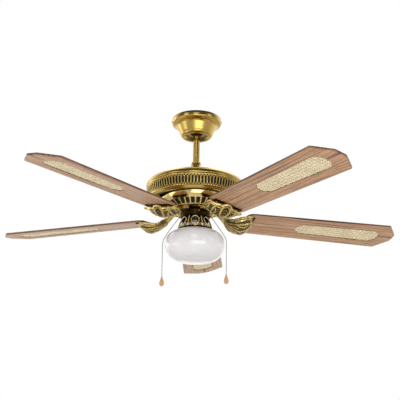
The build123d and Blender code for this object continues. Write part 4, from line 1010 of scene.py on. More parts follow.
class Workshop:
    """Runs geometry node groups and turns their results into plain meshes."""

    def __init__(self) -> None:
        """Make the shared groups once."""
        self.ring = ring_group()
        self.scatter = scatter_group()
        self.beads = bead_group()
        self.weave = weave_group()

    def run(self, name: str, carrier: bpy.types.Mesh, group: bpy.types.NodeTree,
            values: dict[str, object], smooth_below: float = 35.0) -> bpy.types.Object:
        """Apply one group to a carrier mesh.

        Args:
            name: Name of the finished object.
            carrier: Input geometry.
            group: The node group.
            values: Input values by name.
            smooth_below: Shading angle in degrees.

        Returns:
            A plain mesh object with no modifier.
        """
        holder = bpy.data.objects.new(name + "_carrier", carrier)
        bpy.context.scene.collection.objects.link(holder)
        modifier = holder.modifiers.new("nodes", "NODES")
        modifier.node_group = group
        for item in group.interface.items_tree:
            if item.item_type == "SOCKET" and item.in_out == "INPUT" and item.name in values:
                modifier[item.identifier] = values[item.name]
        holder.update_tag()
        graph = bpy.context.evaluated_depsgraph_get()
        graph.update()
        mesh = bpy.data.meshes.new_from_object(holder.evaluated_get(graph))
        holder.modifiers.remove(modifier)
        bpy.data.objects.remove(holder)
        return new_object(name, mesh, None, smooth_below)

    def around(self, name: str, piece: bpy.types.Mesh, count: int, start: float,
               finish: bpy.types.Material, smooth_below: float = 35.0) -> bpy.types.Object:
        """Copy a piece about the Z axis.

        Args:
            name: Name of the finished object.
            piece: The first copy, in place at angle 0.
            count: Number of copies.
            start: Angle of the first copy in degrees.
            finish: Material.
            smooth_below: Shading angle in degrees.

        Returns:
            The finished object.
        """
        source = bpy.data.objects.new(name + "_piece", piece)
        bpy.context.scene.collection.objects.link(source)
        made = self.run(name, bpy.data.meshes.new(name + "_carrier"), self.ring,
                        {"Count": count, "Start Angle": math.radians(start), "Piece": source,
                         "Finish": finish}, smooth_below)
        bpy.data.objects.remove(source)
        return made

    def at(self, name: str, piece: bpy.types.Mesh, places: list[Matrix],
           finish: bpy.types.Material, smooth_below: float = 35.0) -> bpy.types.Object:
        """Copy a piece to given places.

        Args:
            name: Name of the finished object.
            piece: The piece about its own origin.
            places: Place of each copy.
            finish: Material.
            smooth_below: Shading angle in degrees.

        Returns:
            The finished object.
        """
        source = bpy.data.objects.new(name + "_piece", piece)
        bpy.context.scene.collection.objects.link(source)
        carrier = bpy.data.meshes.new(name + "_carrier")
        carrier.from_pydata([place.translation for place in places], [], [])
        spin = carrier.attributes.new("spin", "FLOAT_VECTOR", "POINT")
        for entry, place in zip(spin.data, places):
            entry.vector = place.to_euler()
        made = self.run(name, carrier, self.scatter, {"Piece": source, "Finish": finish},
                        smooth_below)
        bpy.data.objects.remove(source)
        return made


# ------------------------------------------------------------------ sub-assemblies
@dataclass
class Shop:
    """What every sub-assembly needs.

    Attributes:
        frame: The loaded CAD frame.
        finish: Materials by name.
        tools: The geometry node workshop.
    """

    frame: dict[str, object]
    finish: dict[str, bpy.types.Material]
    tools: Workshop

    def ready(self, piece: bpy.types.Object, body: Body, slot: str,
              *nodes: str) -> bpy.types.Object:
        """Attach a finished piece to its body and hide the CAD nodes that it stands for.

        Args:
            piece: The piece, in place.
            body: Body that it rides on.
            slot: Material slot of the record; not used.
            *nodes: CAD nodes that it stands for.

        Returns:
            The same piece.
        """
        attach(piece, body.value)
        if nodes:
            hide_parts(*nodes)
        log.info("%s: %d faces on %s", piece.name, len(piece.data.polygons), body.value)
        return piece


@dataclass
class CadParts:
    """The CAD nodes that stay in view, each with its real finish."""

    shop: Shop

    def build(self) -> None:
        """Assign the finishes to the nodes' material slots."""
        for name, finish in NODE_FINISH.items():
            node = self.shop.frame["nodes"][name]
            for entry in node.material_slots:
                entry.material = self.shop.finish[finish]
            log.info("%s finished as %s", name, finish)


@dataclass
class Canopy:
    """Polished bell canopy with its side screws."""

    shop: Shop

    def build(self) -> None:
        """Turn the bell and set its screws."""
        wall = 1.2
        outer = [(75.6, -0.3), (76.9, -0.9), (77.5, -2.2), (77.5, -13.0)]
        outer += arc((77.5, -13.0), (76.2, -17.6), (72.2, -19.7), 10)[1:]
        outer += [(70.6, -20.1)]
        outer += arc((70.6, -20.1), (63.6, -24.4), (60.0, -30.0), 14)[1:]
        outer += [(58.3, -34.0), (56.4, -38.4), (54.5, -42.8), (52.6, -47.2)]
        outer += arc((50.5, -52.0), (46.2, -59.2), (38.6, -61.9), 14)
        lip = arc((38.6, -61.9), (37.9, -61.3), (38.4, -60.5), 6)[1:]
        inner = [(radius - wall, min(height + 0.5 * wall, outer[0][1]))
                 for radius, height in reversed(outer[:-3])]
        bell = lathe("canopy_bell", outer + lip + inner, self.shop.finish["antique_brass"], 192)
        self.shop.ready(bell, Body.MOUNT, "canopy_brass", "canopy")
        places = [turn(angle) @ Matrix.Translation((77.5 * MM, 0, -9.0 * MM))
                  @ Matrix.Rotation(math.pi / 2, 4, "Y") for angle in (0.0, 180.0)]
        screws = self.shop.tools.at("canopy_side_screws", pan_screw(4.0, 2.0, 5.0), places,
                                    self.shop.finish["screw_brass"])
        self.shop.ready(screws, Body.MOUNT, "screw_brass", "canopy_screws")


def pan_screw(head: float, height: float, shank: float) -> bpy.types.Mesh:
    """Pan-head screw with a cross recess, head up on the Z axis and shank below.

    Args:
        head: Head radius in millimetres.
        height: Head height.
        shank: Shank length.

    Returns:
        The screw's mesh.
    """
    work = bmesh.new()
    sides = 24
    profile = [(0.47 * head, -shank), (0.47 * head, -0.02), (head, 0.0), (head, 0.35 * height),
               (0.93 * head, 0.62 * height), (0.78 * head, 0.84 * height),
               (0.55 * head, 0.97 * height)]
    rings = [ring_at(work, radius, level, sides) for radius, level in profile]
    stitch(work, rings)
    work.faces.new(list(reversed(rings[0])))
    inner = []
    for k in range(sides):
        lobe = abs(math.cos(2 * math.tau * k / sides)) ** 0.7
        reach = (0.16 + 0.34 * lobe) * head
        inner.append(work.verts.new((reach * MM * math.cos(math.tau * k / sides),
                                     reach * MM * math.sin(math.tau * k / sides), height * MM)))
    floor = [work.verts.new((v.co.x * 0.7, v.co.y * 0.7, 0.35 * height * MM)) for v in inner]
    for k in range(sides):
        after = (k + 1) % sides
        work.faces.new([rings[-1][k], rings[-1][after], inner[after], inner[k]])
        work.faces.new([inner[k], inner[after], floor[after], floor[k]])
    work.faces.new(floor)
    return finished(work, "pan_screw")


@dataclass
class Downrod:
    """Brass tube and its flared collar."""

    shop: Shop

    def build(self) -> None:
        """Turn the tube and the collar."""
        brass = self.shop.finish["antique_brass"]
        tube_profile = [(10.7, -21.5), (10.7, -185.6), (10.3, -186.0), (8.7, -186.0), (8.7, -21.0),
                        (10.3, -21.0)]
        rod = lathe("downrod_tube", tube_profile, brass, 96)
        self.shop.ready(rod, Body.SUSPENSION, "rod_brass", "downrod")
        collar = [(10.75, -147.0), (14.4, -147.0), (15.2, -147.8), (15.2, -151.0)]
        collar += [(15.2, -151.5)]
        collar += arc((15.2, -151.5), (18.2, -160.5), (23.4, -168.0), 14)[1:]
        collar += [(25.2, -176.0), (26.6, -182.4), (27.0, -184.0), (25.4, -184.0)]
        collar += [(21.8, -168.0), (16.6, -161.3), (13.6, -153.1), (10.75, -153.1)]
        flare = lathe("collar_flare", collar, brass, 128)
        self.shop.ready(flare, Body.SUSPENSION, "collar_brass", "motor_collar")


@dataclass
class Housing:
    """Domed motor housing with its pierced band.

    Attributes:
        shop: Shared tools.
        slots: Number of slots in the band.
    """

    shop: Shop
    slots: int = 96

    def cell(self) -> bpy.types.Mesh:
        """Make one cell of the pierced band, in place at angle 0.

        Returns:
            The cell's mesh.
        """
        (top_radius, top), (low_radius, low) = (152.5, -236.0), (144.0, -270.0)
        slope = math.hypot(top_radius - low_radius, top - low)
        half = math.pi / self.slots
        wide, narrow = top_radius * math.tan(half), low_radius * math.tan(half)
        reach = slope / 2

        def edge(v: float) -> float:
            """Half width of the cell at a height.

            Args:
                v: Height above the cell's middle.

            Returns:
                Half width in millimetres.
            """
            return narrow + (wide - narrow) * (v + reach) / slope

        notches = []
        for centre in (13.0, -13.0):
            notches += [(centre + 3.3, 0.0), (centre, 2.2), (centre - 3.3, 0.0)]
        right = [(edge(reach), reach)] + [(edge(v) - inset, v) for v, inset in notches]
        right += [(edge(-reach), -reach)]
        outline = right + [(-x, y) for x, y in reversed(right)]
        slot = [(0.0, 13.4), (3.15, 8.2), (3.15, -8.2), (0.0, -13.4), (-3.15, -8.2), (-3.15, 8.2)]
        plate = flat_plate("vent_cell", outline, [slot], 1.5, 0.2)
        lean = math.atan2(top_radius - low_radius, top - low)
        middle = Vector(((top_radius + low_radius) / 2 - 0.75, 0.0, (top + low) / 2)) * MM
        upright = Matrix(((0, 0, 1, 0), (1, 0, 0, 0), (0, 1, 0, 0), (0, 0, 0, 1)))
        plate.transform(Matrix.Translation(middle) @ Matrix.Rotation(lean, 4, "Y") @ upright)
        return plate

    def build(self) -> None:
        """Turn the dome, the rim and the dark liner, which is painted shade behind the vents, and
        set the band between them.
        """
        brass = self.shop.finish["antique_brass"]
        wall = 1.6
        dome = [(14.8, -184.0), (44.0, -184.0), (46.0, -184.2)]
        dome += arc((46.0, -184.2), (87.0, -192.5), (128.0, -211.0), 28)[1:]
        dome += arc((128.0, -211.0), (147.0, -217.8), (153.2, -228.0), 18)[1:]
        dome += [(153.5, -229.5), (153.5, -231.5), (152.9, -232.6), (152.0, -233.2),
                 (152.6, -233.9), (152.9, -234.8), (152.6, -236.2)]
        inner = [(150.9, -236.2), (151.0, -230.0)]
        inner += arc((151.4, -228.6), (145.6, -219.6), (127.4, -212.7), 14)
        inner += arc((127.0, -212.6), (87.0, -194.1), (46.0, -185.8), 16)[1:] + [(14.8, -185.6)]
        shell = lathe("housing_dome", dome + inner, brass, 192)
        rim = [(144.2, -269.6), (145.0, -270.4), (145.2, -271.4), (144.6, -272.4), (143.2, -273.2),
               (142.6, -274.0), (141.9, -275.6), (140.6, -277.0), (139.2, -277.6), (137.6, -277.9),
               (131.6, -277.9), (131.0, -277.3), (131.0, -276.3), (137.0, -276.2), (141.0, -272.0),
               (142.6, -269.6)]
        lower = lathe("housing_rim", rim, brass, 192)
        # Painted shade: a dark sheet just inside the pierced band stands in for the shadow in the
        # housing.
        liner = [(150.6 - wall, -234.0), (142.6 - wall, -271.0), (142.0 - wall, -271.0),
                 (150.0 - wall, -234.0)]
        dark = lathe("housing_liner", liner, self.shop.finish["vent_liner"], 96)
        band = self.shop.tools.around("vent_band", self.cell(), self.slots, 0.0, brass, 50.0)
        self.shop.ready(shell, Body.SUSPENSION, "housing_brass", "upper_housing")
        for piece in (lower, dark, band):
            self.shop.ready(piece, Body.SUSPENSION, "housing_brass")
        places = [turn(90.0 + 120.0 * k) @ Matrix.Translation((33.0 * MM, 0, -184.0 * MM))
                  for k in range(3)]
        screws = self.shop.tools.at("housing_crown_screws", pan_screw(3.8, 2.0, 5.6), places,
                                    self.shop.finish["screw_brass"])
        self.shop.ready(screws, Body.SUSPENSION, "screw_brass", "housing_screws")


@dataclass
class RotorDrum:
    """Polished lower bowl with its ring of ribs.

    Attributes:
        shop: Shared tools.
        ribs: Number of ribs.
    """

    shop: Shop
    ribs: int = 36

    def rib(self) -> bpy.types.Mesh:
        """Make one rib of the cone, in place at angle 0.

        Returns:
            The rib's mesh.
        """
        work = bmesh.new()
        spine = [(100.4, -291.6, 3.0, 2.4), (95.0, -294.6, 2.2, 2.9), (89.0, -298.9, 1.8, 3.0),
                 (83.5, -303.2, 1.9, 2.9), (79.2, -306.4, 2.7, 2.4)]
        rings = []
        lean = math.radians(35.0)
        for radius, height, half, rise in spine:
            out = Vector((math.sin(lean), 0.0, -math.cos(lean)))
            base = Vector((radius, 0.0, height)) - out * 2.2
            crown = base + out * (1.4 + rise)
            shoulder = base + out * (0.7 + rise)
            side = Vector((0.0, half, 0.0))
            rings.append([work.verts.new(p * MM) for p in
                          (base - side, shoulder - side, crown - side * 0.5, crown + side * 0.5,
                           shoulder + side, base + side)])
        stitch(work, rings)
        work.faces.new(rings[0])
        work.faces.new(rings[-1])
        return finished(work, "rib")

    def build(self) -> None:
        """Turn the bowl and the dark cone, which is painted shade between the ribs, and set the
        ribs on it.
        """
        polished = self.shop.finish["polished_brass"]
        drum = [(103.2, -262.0), (112.2, -262.0), (113.0, -262.6)]
        drum += arc((113.0, -262.6), (110.5, -277.5), (103.4, -290.2), 40)[1:]
        drum += [(102.4, -291.6), (101.0, -292.6), (99.2, -292.6), (98.4, -291.2), (100.8, -289.6)]
        drum += arc((100.8, -289.6), (108.0, -276.9), (110.4, -264.6), 24)[1:] + [(103.2, -264.4)]
        wall = lathe("rotor_bowl", drum, polished, 224)
        foot = [(80.8, -303.6), (81.4, -305.0), (81.0, -306.8), (79.6, -307.8), (77.0, -308.0),
                (19.5, -308.0), (19.5, -304.0), (77.0, -304.0)]
        landing = lathe("rotor_landing", foot, polished, 160)
        # Painted shade: the dark cone under the ribs stands in for the shadow inside the rotor.
        cone = [(99.6, -289.0), (99.6, -291.2), (80.0, -304.4), (78.0, -304.4), (98.6, -288.6)]
        dark = lathe("rotor_cone", cone, self.shop.finish["vent_liner"], 96)
        ribs = self.shop.tools.around("rotor_ribs", self.rib(), self.ribs, 0.0, polished, 50.0)
        hub = [(21.5, -296.0), (21.5, -304.0), (17.5, -304.0), (17.5, -296.0)]
        seat = lathe("rotor_hub", hub, polished, 64)
        self.shop.ready(wall, Body.ROTOR, "rotor_brass", "rotor_bottom_shell")
        for piece in (landing, dark, ribs, seat):
            self.shop.ready(piece, Body.ROTOR, "rotor_brass")


@dataclass
class Blades:
    """Walnut blades with woven cane insets.

    Attributes:
        shop: Shared tools.
        strand: Width of a cane strand in millimetres.
        screw_radius: Distance of the screws from the fan's axis.
        screw_spread: Distance between neighbouring screws of a blade.
    """

    shop: Shop
    strand: float = 1.9
    screw_radius: float = 167.0
    screw_spread: float = 36.0

    @staticmethod
    def rounded(corners: list[tuple[float, float, float]], steps: int = 8) -> list[Point]:
        """Round the corners of a polygon.

        Args:
            corners: Corners as (x, y, radius), counter-clockwise.
            steps: Chords per corner.

        Returns:
            The rounded outline.
        """
        points: list[Point] = []
        for k, (x, y, radius) in enumerate(corners):
            here = Vector((x, y))
            before = (Vector(corners[k - 1][:2]) - here).normalized()
            after = (Vector(corners[(k + 1) % len(corners)][:2]) - here).normalized()
            half = math.acos(max(-1.0, min(1.0, before.dot(after)))) / 2
            reach = radius / math.tan(half)
            first, last = here + before * reach, here + after * reach
            centre = here + (before + after).normalized() * (radius / math.sin(half))
            a = math.atan2(*(first - centre).yx)
            sweep = (math.atan2(*(last - centre).yx) - a + math.pi) % math.tau - math.pi
            points += [(centre.x + radius * math.cos(a + sweep * m / steps),
                        centre.y + radius * math.sin(a + sweep * m / steps))
                       for m in range(steps + 1)]
        return points

    def board_outline(self) -> list[Point]:
        """Outline of a blade in its own frame.

        Returns:
            Points in millimetres.
        """
        return self.rounded([(152.0, -61.0, 22.0), (623.0, -72.5, 8.0), (660.0, -19.0, 8.0),
                             (660.0, 19.0, 8.0), (623.0, 72.5, 8.0), (152.0, 61.0, 22.0)])

    def window_outline(self, margin: float) -> list[Point]:
        """Outline of the cane window.

        Args:
            margin: Growth in millimetres.

        Returns:
            Points in millimetres.
        """
        low, high = 322.0 - margin, 612.0 + margin
        near, far, cut = 31.0 + margin, 39.0 + margin, 20.0
        return self.rounded([(low, -near + cut, 6.0), (low + cut, -near, 6.0),
                             (high - cut, -far, 6.0), (high, -far + cut, 6.0),
                             (high, far - cut, 6.0), (high - cut, far, 6.0),
                             (low + cut, near, 6.0), (low, near - cut, 6.0)], 4)

    def board(self) -> bpy.types.Mesh:
        """Make the veneered board in its own frame, with a UV map in metres.

        Returns:
            The board's mesh, with edge faces in the second material slot.
        """
        mesh = flat_plate("blade_board", self.board_outline(), [self.window_outline(-4.0)],
                          BLADE_THICK, 0.7)
        while mesh.uv_layers:
            mesh.uv_layers.remove(mesh.uv_layers[0])
        work = bmesh.new()
        work.from_mesh(mesh)
        layer = work.loops.layers.uv.new("grain")
        for face in work.faces:
            level = abs(face.normal.z) > 0.95
            face.material_index = 0 if level else 1
            for loop in face.loops:
                co = loop.vert.co
                loop[layer].uv = (co.x, co.y + (0.5 if face.normal.z > 0 else 0.0))
        work.to_mesh(mesh)
        work.free()
        return mesh

    def weave_lines(self) -> bpy.types.Mesh:
        """Lay the strands of one cane panel as edges, each clipped to the window.

        Returns:
            A mesh of edges with a phase attribute.
        """
        outline = [Vector(p) for p in self.window_outline(-3.4)]
        pitch, gap = 12.0, 3.0
        middle = Vector((467.0, 0.0))
        lines: list[tuple[Vector, Vector, float]] = []
        slant = pitch * math.sqrt(0.5) * 2
        families = ((Vector((1, 0)), pitch, (-gap / 2, gap / 2), 0.0, 0.0),
                    (Vector((0, 1)), pitch, (-gap / 2, gap / 2), math.pi, 0.35),
                    (Vector((1, 1)).normalized(), slant, (0.0,), 0.0, 0.75),
                    (Vector((1, -1)).normalized(), slant, (0.0,), math.pi, 1.1))
        for along, step, offsets, phase, level in families:
            across = Vector((-along.y, along.x))
            for row in range(-30, 31):
                for offset in offsets:
                    start = middle + across * (row * step + offset)
                    span = self.clip(outline, start, along)
                    if span is not None and span[1] - span[0] > 4.0:
                        flip = phase + (math.pi if row % 2 else 0.0)
                        lines.append((start + along * span[0], start + along * span[1],
                                      flip + level))
        verts, edges, phases = [], [], []
        for first, last, phase in lines:
            edges.append((len(verts), len(verts) + 1))
            verts += [(point.x * MM, point.y * MM, -1.3 * MM) for point in (first, last)]
            phases += [phase, phase]
        mesh = bpy.data.meshes.new("cane_lines")
        mesh.from_pydata(verts, edges, [])
        layer = mesh.attributes.new("phase", "FLOAT", "POINT")
        layer.data.foreach_set("value", phases)
        return mesh

    @staticmethod
    def clip(outline: list[Vector], start: Vector, along: Vector) -> Point | None:
        """Clip a line to a convex outline.

        Args:
            outline: The outline, counter-clockwise.
            start: A point on the line.
            along: Its direction.

        Returns:
            First and last distance along the line, or None if it misses.
        """
        low, high = -1e9, 1e9
        for k, a in enumerate(outline):
            b = outline[(k + 1) % len(outline)]
            inward = Vector((-(b.y - a.y), b.x - a.x))
            rate, room = inward.dot(along), inward.dot(start - a)
            if abs(rate) < 1e-9:
                if room < 0:
                    return None
                continue
            where = -room / rate
            if rate > 0:
                low = max(low, where)
            else:
                high = min(high, where)
        return (low, high) if high > low else None

    def screw_places(self, height: float) -> list[Matrix]:
        """Give the places of the blades' screws.

        Args:
            height: Height above the blade's middle in millimetres.

        Returns:
            One place for each screw, blade by blade.
        """
        return [blade_place(angle) @ Matrix.Translation(
                    (self.screw_radius * MM, side * self.screw_spread * MM, height * MM))
                for angle in blade_angles() for side in (-1, 0, 1)]

    def build(self) -> None:
        """Make every board, weave and backing strip, and set the blade screws."""
        board = self.board()
        board.materials.append(self.shop.finish["walnut_veneer"])
        board.materials.append(self.shop.finish["walnut_edge"])
        cane = self.shop.finish["cane_strand"]
        woven = self.shop.tools.run("cane_source", self.weave_lines(), self.shop.tools.weave,
                                    {"Strand Width": self.strand * MM,
                                     "Strand Thickness": 0.45 * MM,
                                     "Weave Pitch": 6.0 * MM, "Weave Height": 0.55 * MM,
                                     "Finish": cane}, 60.0)
        sheet = flat_plate("cane_sheet", self.window_outline(-0.4), [], 0.5, 0.1)
        for number, angle in enumerate(blade_angles(), start=1):
            place = blade_place(angle)
            piece = new_object(f"blade_board_{number}", placed(board, place), None, 30.0)
            self.shop.ready(piece, Body.ROTOR, "blade_walnut", f"blade_{number}")
            weave = new_object(f"cane_weave_{number}", placed(woven.data, place), None, 60.0)
            self.shop.ready(weave, Body.ROTOR, "cane", f"cane_panel_{number}")
            back = place @ Matrix.Translation((0, 0, 0.2 * MM))
            cloth = new_object(f"cane_backing_{number}", placed(sheet, back),
                               self.shop.finish["cane_cloth"])
            self.shop.ready(cloth, Body.ROTOR, "cane")
        bpy.data.objects.remove(woven)
        brass = self.shop.finish["screw_brass"]
        nuts = self.shop.tools.at("blade_top_screws", pan_screw(4.5, 1.8, 5.0),
                                  self.screw_places(BLADE_THICK / 2), brass)
        self.shop.ready(nuts, Body.ROTOR, "screw_brass", "blade_screws")
        under = [place @ Matrix.Rotation(math.pi, 4, "X") for place in self.screw_places(-7.2)]
        heads = self.shop.tools.at("blade_screw_heads", pan_screw(4.2, 2.2, 4.0), under, brass)
        self.shop.ready(heads, Body.ROTOR, "screw_brass")


@dataclass
class BladeIrons:
    """Cast scroll-edged irons that carry the blades.

    Attributes:
        shop: Shared tools.
        wall: Thickness of the casting in millimetres.
        relief: Depth of its carving.
        rim: Width of its raised border.
        stations: Steps along the iron.
        across: Steps across it.
    """

    shop: Shop
    wall: float = 3.4
    relief: float = 3.0
    rim: float = 3.2
    stations: int = 84
    across: int = 84

    # radius, height, half width, sag and share of the blade's pitch
    SPINE = ((52.0, -308.1, 16.0, 0.0, 0.0), (70.0, -308.1, 15.0, 0.0, 0.0),
             (76.0, -309.8, 13.0, 0.6, 0.0), (92.0, -322.0, 18.0, 4.5, 0.3),
             (112.0, -335.3, 34.0, 6.0, 1.0), (134.0, -334.4, 50.0, 20.5, 1.0),
             (152.0, -332.4, 55.0, 25.5, 1.0), (166.0, -331.5, 55.0, 18.0, 1.0),
             (179.0, -331.5, 51.5, 4.0, 1.0), (186.0, -331.5, 50.0, 1.2, 1.0))

    # carved veins of one half of the leaf as (radius, y) points, with their half widths
    VEINS = ((((92.0, 0.0), (138.0, 0.0)), 2.0),
             (((138.0, 0.0), (150.0, 9.0), (164.0, 14.0), (176.0, 12.0)), 1.7),
             (((98.0, 6.0), (116.0, 18.0), (136.0, 31.0), (156.0, 37.0), (172.0, 33.0)), 1.8),
             (((124.0, 23.5), (140.0, 22.0), (152.0, 25.0), (158.0, 31.0)), 1.2),
             (((112.0, 3.0), (124.0, 12.0), (134.0, 13.0)), 1.1),
             (((118.0, 28.0), (132.0, 41.0), (146.0, 47.0)), 1.1))

    def section(self, radius: float) -> tuple[float, float, float, float]:
        """Blend the spine's values at one radius.

        Args:
            radius: Distance from the fan's axis in millimetres.

        Returns:
            Height, half width, sag and share of the pitch.
        """
        places = np.array([row[0] for row in self.SPINE])
        k = int(np.clip(np.searchsorted(places, radius) - 1, 0, len(places) - 2))
        t = (radius - places[k]) / (places[k + 1] - places[k])
        rows = np.array([row[1:] for row in self.SPINE])
        last = len(places) - 1
        gaps = [places[min(j + 1, last)] - places[max(j - 1, 0)] for j in (k, k + 1)]
        span = places[k + 1] - places[k]
        rise = [(rows[min(j + 1, last)] - rows[max(j - 1, 0)]) / gap * span
                for j, gap in zip((k, k + 1), gaps)]
        h = ((2 * t ** 3 - 3 * t ** 2 + 1) * rows[k] + (t ** 3 - 2 * t ** 2 + t) * rise[0]
             + (3 * t ** 2 - 2 * t ** 3) * rows[k + 1] + (t ** 3 - t ** 2) * rise[1])
        return float(h[0]), float(h[1]), max(0.0, float(h[2])), float(np.clip(h[3], 0.0, 1.0))

    @staticmethod
    def outer_edge(v: float) -> float:
        """Give the scalloped outer edge.

        Args:
            v: Place across the iron, from -1 to 1.

        Returns:
            Radius of the edge in millimetres.
        """
        lobe = abs(math.cos(1.5 * math.pi * v))
        return 171.0 + 7.5 * math.cos(math.pi * v) + 4.5 * lobe ** 0.7

    @staticmethod
    def ridge(distance: float, width: float) -> float:
        """Profile of a rounded ridge.

        Args:
            distance: Distance from its crest.
            width: Its half width.

        Returns:
            Height from 0 to 1.
        """
        return math.exp(-(distance / width) ** 2)

    def level(self, radius: float, y: float, half: float, edge: float) -> float:
        """Height of the carving at one place.

        Args:
            radius: Distance from the fan's axis.
            y: Place across the iron.
            half: Half width there.
            edge: Radius of the outer edge there.

        Returns:
            0 in the grooves to 1 on the crests.
        """
        border = min(half - abs(y), edge - radius)
        rim = 1.0 if border < 1.2 else self.ridge(border - 1.2, 0.62 * self.rim)
        inner_rim = 0.75 * self.ridge(border - 7.0, 0.9)
        here = Vector((radius, abs(y)))
        veins = 0.0
        for line, width in self.VEINS:
            for a, b in zip(line, line[1:]):
                start, end = Vector(a), Vector(b)
                along = end - start
                share = max(0.0, min(1.0, (here - start).dot(along) / along.length_squared))
                veins = max(veins, self.ridge((here - start - along * share).length, width))
        flutes = 0.16 + 0.14 * math.sin(0.9 * math.hypot(radius - 84.0, y) + 0.5 * abs(y))
        best = max(rim, inner_rim, veins, flutes)
        if radius < 98.0:
            best = max(best, 1.0 - max(0.0, (radius - 84.0) / 14.0))
        return best

    def casting(self) -> bpy.types.Mesh:
        """Make one carved iron along +X.

        Returns:
            The iron's mesh, with its relief UV map.
        """
        work = bmesh.new()
        shades: dict[bmesh.types.BMVert, float] = {}
        rows: list[list[bmesh.types.BMVert]] = []
        spread = [math.sin(math.pi / 2 * (2 * k / self.across - 1)) for k in range(self.across + 1)]
        for station in range(self.stations + 1):
            share = station / self.stations
            upper, lower = [], []
            for v in spread:
                edge = self.outer_edge(v)
                radius = 52.0 + (edge - 52.0) * share
                height, half, sag, tip = self.section(radius)
                half += 1.8 * abs(math.sin(math.pi * (radius - 98.0) / 14.0)) ** 0.8 \
                    if radius > 98.0 else 0.0
                y = v * half
                bowl = height - sag * (1.0 - v * v)
                level = self.level(radius, y, half, edge)
                border = max(0.0, min(half - abs(y), (edge - radius) if share > 0.5 else 99.0))
                soft = min(1.0, border / 1.5)
                skin = self.wall * (0.55 + 0.45 * math.sqrt(soft * (2.0 - soft)))
                lean = math.radians(-BLADE_PITCH * tip)
                for row, z, value in ((upper, bowl - 0.45 * (1.0 - soft), 0.55 + 0.45 * level),
                                      (lower, bowl - skin - self.relief * (level - 0.35), level)):
                    depth = z - height
                    spot = Vector((radius, y * math.cos(lean) - depth * math.sin(lean),
                                   height + y * math.sin(lean) + depth * math.cos(lean)))
                    vert = work.verts.new(spot * MM)
                    shades[vert] = value
                    row.append(vert)
            rows.append(upper + lower[::-1])
        stitch(work, rows)
        size = len(rows[0])
        for row in (rows[0], rows[-1]):
            for k in range(size // 2 - 1):
                work.faces.new([row[k], row[k + 1], row[size - 2 - k], row[size - 1 - k]])
        return finished(work, "blade_iron", shades)

    def scroll(self, side: float, size: float) -> bpy.types.Mesh:
        """Make the curled scroll on one corner of the leaf.

        Args:
            side: -1 for the clockwise corner, 1 for the other.
            size: Scale of the curl.

        Returns:
            The scroll's mesh.
        """
        lean = math.radians(-BLADE_PITCH)
        points, radii = [], []
        turns, last = 1.55, 44
        for k in range(last + 1):
            t = k / last
            angle = math.tau * turns * t
            reach = size * (11.0 * (1.0 - t) ** 0.9 + 1.4)
            x = 158.0 + reach * math.cos(angle + 0.6)
            y = side * (50.5 + reach * math.sin(angle + 0.6) * 0.9)
            depth = -self.wall - 3.2 - 2.6 * t
            points.append(Vector((x, y * math.cos(lean) - depth * math.sin(lean),
                                  -331.4 + y * math.sin(lean) + depth * math.cos(lean))) * MM)
            radii.append((2.5 - 0.6 * t) * (0.35 if k in (0, last) else 1.0) * MM)
        return tube(points, radii, 10)

    def build(self) -> None:
        """Cast the five irons with their scrolls and landings, and set their screws."""
        finish = self.shop.finish["carved_brass"]
        casting = self.casting()
        corners = [(152.3, -48.0), (178.0, -48.0), (178.0, 48.0), (152.3, 48.0)]
        ledge = flat_plate("iron_ledge", corners, [], 3.8, 0.6)
        curls = joined("curls", [self.scroll(-1.0, 1.0), self.scroll(1.0, 0.72)], finish)
        layer = curls.data.uv_layers.new(name="relief")
        layer.data.foreach_set("uv", [0.8, 0.5] * len(curls.data.loops))
        for number, angle in enumerate(blade_angles(), start=1):
            pair = [placed(casting, turn(angle)), placed(curls.data, turn(angle))]
            both = joined(f"blade_iron_{number}_cast", pair, finish, 55.0)
            self.shop.ready(both, Body.ROTOR, "iron_brass", f"blade_iron_{number}")
        bpy.data.objects.remove(curls)
        places = [turn(angle) @ Matrix.Translation((64.0 * MM, side * 9.0 * MM, -313.0 * MM))
                  @ Matrix.Rotation(math.pi, 4, "X")
                  for angle in blade_angles() for side in (-1, 1)]
        screws = self.shop.tools.at("iron_foot_screws", pan_screw(4.2, 2.0, 5.0), places,
                                    self.shop.finish["screw_brass"])
        self.shop.ready(screws, Body.ROTOR, "screw_brass", "iron_screws")
        low = Matrix.Translation((0.0, 0.0, -(BLADE_THICK / 2 + 2.0) * MM))
        ledges = self.shop.tools.at("iron_landings", ledge,
                                    [blade_place(angle) @ low for angle in blade_angles()], finish)
        self.shop.ready(ledges, Body.ROTOR, "iron_brass")


